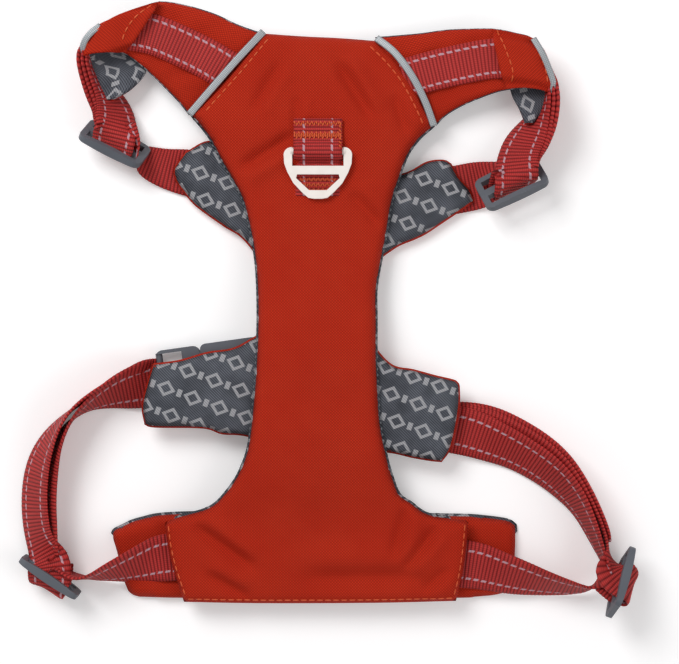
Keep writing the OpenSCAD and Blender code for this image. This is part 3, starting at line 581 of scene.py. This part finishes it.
def sweep(name, stations, columns, top, bottom, finish, step=1.2, square=False, ribs=0.0,
          side=1, loose=False, body="harness"):
    """A band through stations of a place and a half width. top and bottom give its skins' heights
    from the place across it, its half width and the length so far. ribs is the ribs' height."""
    line = spline(stations, step, loose)
    places, half = line[:, :3], line[:, 3:6]
    heading = np.gradient(places, axis=0)
    heading /= np.linalg.norm(heading, axis=1)[:, None]
    width = np.linalg.norm(half, axis=1)
    if square:
        half = half - np.sum(half * heading, 1)[:, None] * heading
        half *= (width / np.linalg.norm(half, axis=1))[:, None]
    face = np.cross(heading, half)
    face *= side / np.linalg.norm(face, axis=1)[:, None]
    along = np.concatenate([[0], np.cumsum(np.linalg.norm(np.diff(places, axis=0), axis=1))])
    q = np.linspace(-1, 1, columns)
    rib = np.abs(np.sin(np.pi * along / RIB))[:, None] if ribs else np.zeros((len(line), 1))
    reach = q[None, :] * (1 + ribs * RIB_OUT * rib / width[:, None])
    spread = q[None, :] * width[:, None]
    thin = np.where(np.abs(q) > EDGE_FROM, EDGE_THIN, 1.0)[None, :]
    high = (top(spread, width[:, None], along[:, None]) + ribs * RIB_UP * rib) * thin
    low = (bottom(spread, width[:, None], along[:, None]) - ribs * RIB_UP * rib) * thin
    front = places[:, None] + half[:, None] * reach[..., None] + face[:, None] * high[..., None]
    back = places[:, None] + half[:, None] * reach[..., None] + face[:, None] * low[..., None]
    rings = np.concatenate([front, back[:, ::-1]], 1)
    n, m = len(line), 2 * columns
    uv_across = np.concatenate([spread, spread[:, ::-1] + 100], 1)
    points = rings.reshape(-1, 3)
    faces, uvs = [], []
    for i in range(n - 1):
        for j in range(m):
            k = (j + 1) % m
            faces.append((i * m + j, (i + 1) * m + j, (i + 1) * m + k, i * m + k))
            a, b = uv_across[i, j], uv_across[i, k]
            if j in (columns - 1, m - 1):
                b = a = uv_across[i, j] if j == columns - 1 else uv_across[i, 0]
            uvs += [(along[i], a), (along[i + 1], a), (along[i + 1], b), (along[i], b)]
    for i, way in ((0, 1), (n - 1, -1)):
        for j in range(columns - 1):
            quad = [i * m + j, i * m + j + 1, i * m + m - 2 - j, i * m + m - 1 - j][::way]
            faces.append(tuple(quad))
            uvs += [(along[i], uv_across[i, j])] * 4
    a, b, c, d = (points[corner] for corner in np.array(faces).T)
    volume = np.sum(np.cross(a, b) * c) + np.sum(np.cross(a, c) * d)
    if volume < 0:
        faces = [f[::-1] for f in faces]
        uvs = [uvs[4 * i + 3 - j] for i in range(len(faces)) for j in range(4)]
    return mesh_object(name, points, faces, uvs, finish, body)


def level(height):
    """A skin that stays this far off the middle of its band."""
    return lambda s, w, a: s * 0 + height


def ribbon(name, stations, width, finish, side=1, shift=0.0, lift=0.0, loose=True, body="harness"):
    """Webbing through stations of a place, the way across it and, where it is gathered, its share
    of the full width. It may be moved across and off its face."""
    made = []
    places = np.array([row[:3] for row in stations], float)
    heading = np.gradient(places, axis=0)
    for i, (place, way, row) in enumerate(zip(places, heading, stations)):
        across = np.array(row[3:6]) / np.linalg.norm(row[3:6])
        normal = np.cross(way, across)
        normal *= side / np.linalg.norm(normal)
        share = row[6] if len(row) > 6 else 1.0
        spread = min(1.0, i / 2, (len(stations) - 1 - i) / 2)
        middle = place + across * shift * spread + normal * lift
        made.append(np.concatenate([middle, across * share * width / 2]))
    half = WEBBING_THICK / 2
    return sweep(name, made, 13, level(half), level(-half), finish, RIB / 4,
                 square=True, ribs=RIB_HEIGHT, side=side, loose=loose, body=body)


LEASH_FLOOR = 17.7
LOWER_WIDTH = 24.6
UPPER_ROUTE = ((75.4, 18.8), (75.3, 20.4), (76.1, 22.4), (78.0, 24.1), (80.4, 24.2), (82.6, 23.0), (85, 21.3),
               (88.5, 20.3), (96, 20.1))
leash_lower = [(0, y, LEASH_FLOOR + 0.7, 1, 0, 0) for y in (56, 66, 76, 86, 95)]
leash_upper = [(0, y, z, 1, 0, 0) for y, z in UPPER_ROUTE]
lower = ribbon("leash_lower", leash_lower, LOWER_WIDTH, red_webbing, -1, loose=False)
upper = ribbon("leash_upper", leash_upper, WEBBING, red_webbing, -1, loose=False)
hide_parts("leash_webbing")

# ---- Shoulder sleeves ----
# Two padded bands that leave the shoulder seams, with webbing sewn along their tops. Each folds
# under at its outer end and comes back below with its lining up.

left_sleeve = [
    (-48.4, 120.4, 8.6, -18.6, -21), (-57.2, 125.8, 9.8, -15.2, -19.8), (-66.6, 131.8, 11.2, -12, -19.5),
    (-77.2, 136.9, 13, -7.5, -18.7), (-86.8, 140.4, 15.2, -4.2, -16.6), (-97.5, 141.7, 17.6, -2.9, -11.4),
    (-108, 140, 19.6, -1.6, -8.2), (-116.5, 137.4, 19.6, -2.4, -6.8), (-118.4, 134, 16.6, -3.4, -5.4, 1),
    (-114.9, 130.8, 13.2, -5.2, -4.2, 3), (-110.5, 127, 11.9, -13.4, -2.5, 3),
    (-105, 120.3, 11.5, -14.7, -1.6, 2), (-107, 112, 12.9, -9.9, -0.4, 1), (-110, 106, 13.6, -3.4, -0.3, 0)]
right_sleeve = [
    (45.7, 116.6, 8.6, -15.6, 22.6), (59.8, 120, 10.4, -6.8, 21), (69.8, 122.9, 12.2, -3.8, 19.7),
    (81.5, 125.1, 14.4, -1.5, 17.9), (93.5, 126.8, 17.2, -1.5, 15.8), (105.3, 126.2, 19.6, -2.6, 14),
    (115.2, 124.6, 19.6, -4.2, 13.2), (119.4, 121.4, 16.4, -4.6, 10.6, -1), (117.4, 118, 13.2, -6.6, 7.6, -2),
    (113.2, 113.6, 12, -12, 3.6, -2), (111.2, 108, 12.4, -9.8, 1.2, -1), (111.2, 101, 13, -6.2, 0.4),
    (110, 94, 13.6, -2.2, 0)]


def full(stations):
    """Stations with a level across where none is given."""
    return [tuple(s) + (0,) * (6 - len(s)) for s in stations]


def sleeve(name, stations, side):
    """A padded band with its lining. Its cloth wrinkles, and dips beside the webbing sewn along it."""
    line = full(stations)

    def top(s, w, a):
        webbing_end, webbing_edge, widest_bare = 62, 12.2, 13
        wrinkle = 0.6 * np.sin(a / 5.1 + s / 9) * np.sin(s / 6.5 + 1) + 0.4 * np.sin(a / 2.6 - s / 4)
        beside = 0.9 * np.exp(-((np.abs(s) - webbing_edge) / 1.5) ** 2) * (a < webbing_end)
        crown = 1.3 * (1 - (s / w) ** 4) + wrinkle * (1 - (s / w) ** 2)
        return 1.5 + crown - beside * (w > widest_bare)

    def under(s, w, a):
        return -1.9 - 1.5 * (1 - (s / w) ** 4) - 0.3 * np.sin(a / 3.1) * np.cos(s / 4.2)

    cover = sweep(name + "_pad", line, 21, top, level(-1.3), red_shell, 1.3)
    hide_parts(side + "_sleeve_cover")
    wide = [s[:3] + tuple(c * 1.03 for c in s[3:]) for s in line]
    inner = sweep(name + "_inner", wide, 21, level(-1.2), under, grey_lining, 1.3)
    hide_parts(side + "_sleeve_lining")


sleeve("left_sleeve", left_sleeve, "left")
sleeve("right_sleeve", right_sleeve, "right")

BAND_WIDTH = 20.5
left_band = [(-47, 121.5, 12.2, -0.66, -0.75, 0), (-58, 128.2, 13.6, -0.58, -0.81, 0),
             (-70, 133.8, 15.2, -0.48, -0.88, 0), (-82, 139, 17.5, -0.38, -0.92, 0),
             (-90, 141, 19.2, -0.3, -0.94, 0), (-97.5, 141.8, 20.8, -0.24, -0.95, 0)]
right_band = [(44.5, 117.4, 12.2, -0.5, 0.86, 0), (58, 121.2, 14, -0.2, 0.97, 0),
              (72, 124.2, 16, -0.13, 0.98, 0), (86, 126.8, 18.8, -0.05, 0.99, 0),
              (93, 127.2, 20.2, -0.06, 0.99, 0), (100, 127, 21.8, -0.08, 0.98, 0)]
left_webbing = ribbon("left_sleeve_webbing", left_band, BAND_WIDTH, band_webbing)
right_webbing = ribbon("right_sleeve_webbing", right_band, BAND_WIDTH, band_webbing)
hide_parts("left_shoulder_webbing")
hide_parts("right_shoulder_webbing")

left_cap = [(-90.6, 144.6, 22.8, -8.6, -13.2), (-99.4, 142.6, 24.2, -5, -11.6),
            (-108.4, 140.2, 25.2, -2.2, -9.2), (-115.8, 137.4, 24.6, -2.6, -7.2),
            (-120.2, 135, 22, -3.2, -6.4)]
right_cap = [(93.6, 127.8, 22.8, -3.6, 15.6), (102, 127.2, 24.4, -3.4, 14.4), (110, 125.8, 25.2, -4, 13.6),
             (116, 124, 24.4, -4.6, 13.2), (120.4, 122, 21.6, -5.2, 12.6)]


def cap(name, stations, node):
    """A cloth cap over the end of the webbing. Its hem is folded, and it hugs the webbing's edges.
    The higher a station stands, the more it is drawn in towards the spot below the camera."""
    rise, fall, webbing_edge, drawn_in = 0.9, 4.4, 11.2, 3000

    def drop(s):
        return fall / (1 + np.exp(-(np.abs(s) - webbing_edge) * 1.3))

    def top(s, w, a):
        hem = 0.8 * np.exp(-((a - 1.9) / 2.2) ** 2)
        return rise - drop(s) + hem + 0.3 * np.sin(a / 2.3 + s / 5) * np.cos(s / 6)

    def under(s, w, a):
        return rise - drop(s) - CLOTH

    drawn = [(x - (x - AIM_X) * z / drawn_in, y - (y - AIM_Y) * z / drawn_in, z, p, q)
             for x, y, z, p, q in stations]
    made = sweep(name, full(drawn), 25, top, under, red_shell, 1.1)
    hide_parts(node)
    return made


left_cap_cloth = cap("left_cap", left_cap, "left_shoulder_cap")
right_cap_cloth = cap("right_cap", right_cap, "right_shoulder_cap")

# ---- Shoulder straps ----
# Ribbed webbing from the chest panel through a slider. It goes on doubled, round the outside of
# the sleeve's fold and up into its cap.


def slot_place(at, x, y, z):
    """A place given in a slider's own axes."""
    centre, angles = at
    spin = Euler([math.radians(a) for a in angles]).to_matrix()
    return Vector(centre) + spin @ Vector((x, y, z))


def bight(at, lean, flip=1, out=7.1, gap=3.4, reach=7.4):
    """The turn round a slider's middle bar, in at the lower slot and out at the upper one."""
    run = np.array([lean, 1.0]) / math.hypot(lean, 1)
    spin = Euler([math.radians(a) for a in at[1]]).to_matrix()
    steps = [(run * out, -gap), (run * 0, -gap)]
    steps += [(-run * reach * math.cos(a), gap * math.sin(a)) for a in (-0.96, -0.35, 0.35, 0.96)]
    steps += [(run * 0, gap), (run * out, gap)]
    shares = (0.9, 0.9, 0.84, 0.66, 0.66, 0.84, 0.9, 0.9)
    across = tuple(spin @ Vector((flip, 0, 0)))
    return [tuple(slot_place(at, x, y, z)) + across + (share,) for ((x, y), z), share in zip(steps, shares)]


def strap(name, node, at, lean, single, double, below, flip=1, body="harness"):
    """A strap's own run, its turn round the slider with the top layer, and the layers below that,
    each with how far it is shifted across and lifted off the top one."""
    turn = bight(at, lean, flip)
    meets = turn[0][:3] + tuple(flip * c for c in turn[0][3:6]) + (0.85,)
    made = [ribbon(name + "_single", single + [meets], WEBBING, red_webbing, -1)]
    made.append(ribbon(name, turn + double, WEBBING, red_webbing, -1, body=body))
    for k, (stations, shift, lift) in enumerate(below):
        layer = ribbon("%s_layer%d" % (name, k), stations, WEBBING, red_webbing, -1, shift, lift, body=body)
        made.append(layer)
    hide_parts(node)
    return made


LEFT_SHOULDER_SLIDER = ((-106.3, 83.8, 11), (33, 0, -27))
RIGHT_SHOULDER_SLIDER = ((100.9, 62.9, 14.8), (52, 0, 25))
LEFT_BELLY_SLIDER = ((-140, -142.5, 10.9), (0, 0, -34))
RIGHT_BELLY_SLIDER = ((157, -144.3, 19.6), (0, 33, 70))

left_double = [
    (-104.4, 95.5, 15.2, 0.74, -0.05, -0.6), (-106.8, 104.5, 12.6, 0.56, 0.15, -0.81),
    (-110.4, 110.5, 12.2, 0.4, 0.14, -0.9), (-114.4, 116, 12.6, 0.24, 0.08, -0.97),
    (-117.4, 122.5, 13, 0.14, 0.04, -0.99), (-118.6, 128, 12.4, 0.12, 0.1, -0.98, 0.85),
    (-117.6, 133, 12, 0.15, 0.3, -0.93, 0.7)]
strap(
    "left_shoulder_strap_cloth", "left_shoulder_strap", LEFT_SHOULDER_SLIDER, -0.2,
    [(-48, 66, 1.1, 0.1, -1, 0), (-62, 68.2, 1.1, 0.15, -1, 0), (-71, 69.8, 1.1, 0.15, -1, 0, 0.97),
     (-80, 71.4, 1.4, 0.3, -0.95, 0, 0.84), (-88, 74, 2.6, 0.45, -0.89, 0, 0.72),
     (-93.6, 77, 4.8, 0.55, -0.83, 0, 0.68), (-98, 81, 8, 0.75, -0.66, 0, 0.68)],
    left_double, [(left_double, -2.4, -1.75), (left_double, -4.6, -3.5)])
right_double = [
    (102.8, 73.2, 19.6, 0.84, 0.1, 0.45), (105.6, 81.6, 16, 0.62, -0.36, 0.66),
    (110.2, 89.4, 13.6, 0.54, -0.34, 0.75), (114.4, 96.6, 12.8, 0.38, -0.18, 0.9),
    (117.6, 104, 12.9, 0.2, -0.04, 0.98), (118.6, 110.6, 12.4, 0.12, -0.06, 0.99, 0.85),
    (117.6, 115.6, 12, 0.15, -0.3, 0.93, 0.7)]
strap(
    "right_shoulder_strap_cloth", "right_shoulder_strap", RIGHT_SHOULDER_SLIDER, 0.45,
    [(52, 57, 1.1, -0.2, 1, 0), (68, 59.5, 1.1, -0.2, 0.97, 0), (77, 61.2, 1.1, -0.18, 0.97, 0),
     (85, 62.8, 2, -0.15, 0.98, 0), (91, 64.6, 5.4, 0.2, 0.96, 0, 0.9), (96.5, 68, 10.5, 0.7, 0.7, 0, 0.8)],
    right_double, [(right_double, 2.4, -1.75), (right_double[1:], 4.6, -3.5)])

# ---- Belly straps ----
# Webbing from the side seams through a slider and on, doubled and standing on edge, to the insert of each
# side release buckle. The layers past each slider are given no body and stay where they lie.

left_outer = [
    (-144.4, -127, 12, 0.72, -0.3, 0.58, 0.9), (-147.6, -116.5, 10.8, 0.64, -0.06, 0.76),
    (-148.8, -101, 10.6, 0.62, 0, 0.78), (-147, -85, 10.8, 0.58, -0.1, 0.8),
    (-142.2, -73, 11.8, 0.38, -0.26, 0.89), (-135.2, -61.8, 12.9, 0.16, -0.12, 0.98),
    (-126.2, -53, 13, 0, 0.02, 0.99), (-115.5, -45.6, 13, -0.02, 0.06, 0.99),
    (-105, -40.6, 11.4, -0.03, 0.2, 0.97), (-96, -39.2, 8, -0.1, 0.72, 0.68),
    (-90, -40.4, 5, -0.13, 0.93, 0.3), (-84.5, -41.2, 3.6, -0.139, 0.99, 0)]
left_inner_layer = [
    (-139.4, -131, 9, -0.5, 0.25, -0.8, 0.65), (-140.6, -124, 9.8, -0.5, 0.12, -0.84, 0.85),
    (-141.6, -115, 10.2, -0.5, 0.05, -0.86), (-142, -101, 10.4, -0.48, 0, -0.87),
    (-140.4, -85, 10.6, -0.46, 0.08, -0.88), (-136.4, -72.4, 11.6, -0.28, 0.18, -0.94),
    (-130, -61.8, 12.8, -0.1, 0.06, -0.99), (-121.4, -53.4, 12.5, 0.06, -0.12, -0.98),
    (-108, -46.9, 11, 0.1, -0.6, -0.79), (-98, -44, 8.8, 0.12, -0.85, -0.5),
    (-90, -42, 6.6, 0.13, -0.97, -0.2), (-84.5, -41.2, 5.4, 0.139, -0.99, 0)]
left_belly = strap(
    "left_belly_strap_cloth", "left_belly_strap", LEFT_BELLY_SLIDER, -0.6,
    [(-62, -131.5, 8.3, 0.06, 1, 0), (-82, -132.5, 9.2, 0.04, 1, 0), (-89, -134.5, 13, 0, 0.9, 0.42),
     (-100, -138, 14.6, 0, 0.66, 0.75), (-111, -141.2, 13.4, 0, 0.4, 0.92),
     (-120, -143.4, 12.8, 0, 0.14, 0.99, 0.95), (-128, -142.6, 11.6, 0.2, -0.1, 0.97, 0.8),
     (-134.5, -138.5, 9, 0.6, -0.4, 0.6, 0.7)],
    left_outer, [(left_inner_layer, 0.0, 0.0)], 1, None)
right_outer = [
    (151.6, -130, 16, 0.05, -0.35, 0.93, 0.75), (148, -119.3, 13.9, 0.1, 0.02, 0.99),
    (142.8, -107.8, 13.2, 0.12, 0.08, 0.985), (136.2, -97.4, 13, 0.2, 0.18, 0.95),
    (127, -87, 12, 0.32, 0.38, 0.86), (116.4, -79.2, 10.8, 0.37, 0.56, 0.74),
    (104, -72.4, 9, 0.34, 0.68, 0.65), (91, -67.4, 6.4, 0.3, 0.85, 0.42),
    (79.4, -64.8, 4.2, 0.25, 0.96, 0.12), (69.4, -64, 3.5, 0.242, 0.97, 0)]
right_inner_layer = [
    (152.6, -141, 16.6, 0.1, -0.25, 0.95, 0.55), (148.2, -131.5, 14.4, 0.12, -0.05, 0.98, 0.85),
    (144, -121, 13.2, 0.2, 0.05, 0.98), (139.2, -110.5, 13, 0.24, 0.16, 0.95),
    (133.4, -100.8, 12.9, 0.34, 0.3, 0.89), (124.4, -90.6, 11.4, 0.42, 0.47, 0.78),
    (114, -83, 10.4, 0.39, 0.58, 0.71), (102.4, -76.4, 9.4, 0.34, 0.68, 0.65),
    (90, -71.2, 7.8, 0.3, 0.85, 0.42), (79, -67.2, 6, 0.25, 0.96, 0.12), (69.4, -65.4, 5.3, 0.242, 0.97, 0)]
right_under_layer = [(149.4, -124, 14.8, 0.08, -0.1, 0.99, 0.5)] + right_outer[1:]
right_belly = strap(
    "right_belly_strap_cloth", "right_belly_strap", RIGHT_BELLY_SLIDER, 0.45,
    [(62, -135, 8.3, 0, -1, 0), (82, -136.2, 9.2, 0, -1, 0), (93.6, -139.6, 12.6, 0, -0.9, -0.42),
     (104.5, -142.6, 13.6, 0, -0.8, -0.6), (115.4, -145.4, 13, 0, -0.62, -0.78),
     (126.9, -147.7, 12.4, 0, -0.45, -0.89), (137.5, -149, 12.4, 0, -0.3, -0.95, 0.86),
     (144.6, -147.4, 14, 0.1, -0.1, -0.98, 0.66)],
    right_outer, [(right_inner_layer, 0.0, 0.0), (right_under_layer, 1.9, -1.75)], -1, None)
DRAWN_OUT = (
    (left_belly, "left_buckle_insert", (-0.146, -0.105, 0.012), (-0.098, -0.043, 0.008)),
    (right_belly, "right_buckle_insert", (0.140, -0.110, 0.013), (0.082, -0.068, 0.006)),
)
for layers, insert, start, end in DRAWN_OUT:
    for layer in layers[1:]:
        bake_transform(layer)

# ---- Piping and seams ----
# Flat reflective piping closes both shoulder seams and the caps' outer ends. Orange thread runs
# beside it, down the side seams, along the hem and on the caps. Short pale stitches hold the
# lining's rolled edge at the waist.


def tape(name, path, width, node):
    """Reflective piping along a path of places, lying level."""
    def crown(s, w, a):
        return 0.5 + 0.5 * (1 - (s / w) ** 2) + 0.1 * np.sin(a / 0.8)

    p = spline(path, 1.0)
    heading = np.gradient(p, axis=0)
    rows = []
    for place, way in zip(p, heading):
        across = np.cross(way, (0, 0, 1))
        rows.append(tuple(place) + tuple(across / np.linalg.norm(across) * width / 2))
    made = sweep(name, rows, 9, crown, level(-0.8), reflective, 1.0, square=True)
    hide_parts(node)


def ground(*pieces):
    """A function that gives the height of the highest of these pieces at a place."""
    trees = [
        BVHTree.FromPolygons([v.co[:] for v in o.data.vertices], [p.vertices[:] for p in o.data.polygons])
        for o in pieces
    ]

    def height(x, y):
        above, down = Vector((x * MM, y * MM, 0.2)), Vector((0, 0, -1))
        hits = [tree.ray_cast(above, down)[0] for tree in trees]
        found = [h.z / MM for h in hits if h is not None]
        return max(found) if found else None

    return height


def stitches(name, paths, floor_of, finish, length=3.1, gap=1.1, thick=0.75, sink=0.0):
    """Rows of single stitches laid on what lies below their paths. Each is a thin closed tube."""
    profile = ((0, 0.35), (0.15, 0.85), (0.5, 1.0), (0.85, 0.85), (1, 0.35))
    sides, lead, lift = 6, 0.3, 0.18
    points, faces = [], []
    for path in paths:
        line = spline(path, 0.25)[:, :2]
        along = np.concatenate([[0], np.cumsum(np.linalg.norm(np.diff(line, axis=0), axis=1))])
        for start in np.arange(lead, along[-1] - length, length + gap):
            rings = []
            for share, size in profile:
                x, y = (np.interp(start + share * length, along, line[:, i]) for i in (0, 1))
                z = floor_of(x, y)
                rings.append(None if z is None else (x, y, z - sink + lift * size, size * thick / 2))
            if None in rings:
                continue
            way = np.array(rings[-1][:3]) - np.array(rings[0][:3])
            way /= np.linalg.norm(way)
            side = np.cross(way, (0, 0, 1))
            side /= np.linalg.norm(side)
            up = np.cross(side, way)
            base = len(points)
            for x, y, z, r in rings:
                for k in range(sides):
                    a = math.tau * k / sides
                    points.append(np.array((x, y, z)) + r * (math.cos(a) * side + math.sin(a) * up))
            last = base + (len(profile) - 1) * sides
            for ring in range(base, last, sides):
                for k in range(sides):
                    m = (k + 1) % sides
                    faces.append((ring + k, ring + m, ring + sides + m, ring + sides + k))
            faces.append(tuple(base + k for k in reversed(range(sides))))
            faces.append(tuple(last + k for k in range(sides)))
    uvs = [(0, 0)] * sum(len(f) for f in faces)
    return mesh_object(name, np.array(points), faces, uvs, finish)


TAPES = (
    ("left_neck", 3.8, [(-28.6, 142.4, 11), (-41.8, 127.9, 13.6), (-54.3, 113.5, 14.6), (-67, 98.8, 14.2)]),
    ("right_neck", 3.8, [
        (30.6, 139, 11), (40.2, 130.8, 13.4), (48.8, 119, 14.8), (55.6, 105.8, 14.8), (60.4, 92.8, 14.4)]),
    ("left_cap", 3.2, [
        (-112.2, 143.6, 24.4), (-116.9, 140, 24.8), (-120.3, 135.8, 24.2), (-121.8, 131.6, 22.8),
        (-121.8, 128, 21)]),
    ("right_cap", 3.2, [
        (111.4, 137, 24), (115.9, 129, 25.2), (119.5, 120.6, 24.8), (121.6, 114, 23.4),
        (121.4, 108.6, 21.4)]),
)
for name, width, path in TAPES:
    tape(name + "_tape", path, width, name + "_piping")

seam_rows = [
    [(-26, 138.4), (-37.2, 124.6), (-49.9, 110.1), (-60.8, 97.6)],
    [(27, 134.6), (35.6, 126), (43.4, 116), (49.8, 104), (54.6, 93.4)],
    [(-77.8, -115.2), (-76.4, -126), (-73.8, -137), (-68.4, -153)],
    [(76.4, -114.6), (75.4, -126), (73.4, -140), (70.4, -153)],
    [(-68, -153.4), (-30, -154), (30, -153.8), (70, -152.9)],
]
stitches("seam_stitches", seam_rows, ground(back_pad), orange_thread)

edge_path = grown(back_edge, 0.75)
waist = (edge_path[:, 1] > -110) & (edge_path[:, 1] < 90)
edge_rows = [edge_path[waist & (edge_path[:, 0] * way > 0)][::6] for way in (1, -1)]
stitches("edge_stitches", edge_rows, ground(back_lining, back_pad), reflective,
         length=1.4, gap=1.7, thick=0.55)

cap_rows = [
    [(-86, 155), (-94.4, 147.6), (-99.4, 140.4), (-101.6, 132.6)],
    [(-112.6, 142.4), (-117, 138.6), (-119.2, 134.6), (-119, 130.8)],
    [(92.6, 142), (97.4, 130), (100.6, 120), (99.8, 112.6)],
    [(109.8, 137), (114.2, 129), (117.6, 120.8), (118.8, 112)],
]
on_caps = ground(left_cap_cloth, right_cap_cloth)
stitches("cap_stitches", cap_rows, on_caps, orange_thread)


def zigzag(low_x, high_x, low_y, high_y, rows, teeth):
    """Rows of zigzag across a box."""
    made = []
    for r in range(rows):
        bottom = low_y + (high_y - low_y) * r / rows
        top = low_y + (high_y - low_y) * (r + 1) / rows
        step = (high_x - low_x) / teeth
        for k in range(teeth):
            a, b = (bottom, top) if k % 2 else (top, bottom)
            made.append([(low_x + k * step, a), (low_x + (k + 1) * step, b)])
    return made


HEAD_BLOCKS = ((85, 88.2), (86.4, 89.6), (91.8, 95))
on_webbing = ground(lower, upper)
head_rows = [row for low, high in HEAD_BLOCKS for row in zigzag(-12.4, 12.4, low, high, 1, 22)]
head_rows += zigzag(-13, -10.6, 80, 94.6, 7, 1) + zigzag(10.6, 13, 80, 94.6, 7, 1)
tail_rows = [row for low in (57.6, 60.4, 63.2) for row in zigzag(-9.4, 9.4, low, low + 2.6, 1, 16)]
head_thread = stitches("leash_head_stitches", head_rows, on_webbing, orange_thread,
                       length=1.9, gap=0.05, thick=0.85, sink=-0.2)
stitches("leash_tail_stitches", tail_rows, on_webbing, crimson_thread,
         length=1.9, gap=0.05, thick=0.8, sink=-0.2)
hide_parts("leash_webbing_stitching")

# ---- Chest leash webbing and buckle tabs ----
# The same webbing is sewn under the chest panel and holds the lower ring. A short folded loop of it
# ties each buckle's socket to the panel.

CHEST_ROUTE = ((-5, 0.85), (30, 0.85), (60, 0.85), (76, 0.85), (80.2, 1.4), (82.2, 3.8), (80.6, 6.2),
               (77.6, 6.8), (74.6, 5.2), (72.4, 3.6))
chest_loop = [(0, y, z, 1, 0, 0) for y, z in CHEST_ROUTE]
chest_webbing = ribbon("chest_webbing", chest_loop, LOWER_WIDTH, red_webbing)
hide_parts("chest_leash_webbing")

TAB_REACH = 34
TAB_ROUTE = ((-14, 5.3), (-8, 5.3), (-4, 4.2), (-0.5, 3.1), (2.2, 2.4), (3.2, 0), (2.2, -2.4), (-0.5, -3.1),
             (-3, -2.2), (-4.6, -0.6))
for side, centre, turn in (("left", (-57, -37, 4.5), 188), ("right", (41.7, -58, 4.5), -14)):
    spin = Euler((0, 0, math.radians(turn))).to_matrix()
    across = tuple(spin @ Vector((0, 1, 0)))
    rows = [tuple(Vector(centre) + spin @ Vector((x - TAB_REACH, 0, z))) + across for x, z in TAB_ROUTE]
    tab = ribbon(side + "_tab", rows, WEBBING, red_webbing)
    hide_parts(side + "_buckle_tab")

# ---- Leash rings, sliders and buckles ----
# Two metal rings with a pale satin plating, and moulded slate grey plastic sliders and side release
# buckles. They keep the CAD's shapes.


def metal_finish():
    """Pale plating with a fine satin grain."""
    material, shader = finish_of("satin_plate", Roughness=0.38, Metallic=0.12)
    grain = speckle(material, 220.0, 3.0)
    paint(material, shader, blend(material, grain, dye(238, 228, 220), dye(252, 246, 240)))
    raise_bump(material, shader, grain, 0.00006, 0.4)
    return material


def plastic_finish():
    """Slate grey plastic with a fine moulded grain."""
    material, shader = finish_of("moulded_plastic", Roughness=0.5)
    grain = speckle(material, 700.0, 2.0)
    paint(material, shader, blend(material, speckle(material, 40.0), dye(78, 82, 90), dye(98, 102, 110)))
    raise_bump(material, shader, grain, 0.00005, 0.5)
    return material


satin_plate = metal_finish()
moulded = plastic_finish()


def dress(node, finish):
    """Gives a CAD piece its finish."""
    piece = bpy.data.objects[node]
    piece.data.materials.clear()
    piece.data.materials.append(finish)


MOULDED_PIECES = ("shoulder_slider", "belly_slider", "buckle_socket", "buckle_insert",
                  "buckle_front_prong", "buckle_rear_prong")
for ring_node in ("leash_ring", "chest_leash_ring"):
    dress(ring_node, satin_plate)
for side in ("left", "right"):
    for piece_name in MOULDED_PIECES:
        dress(side + "_" + piece_name, moulded)
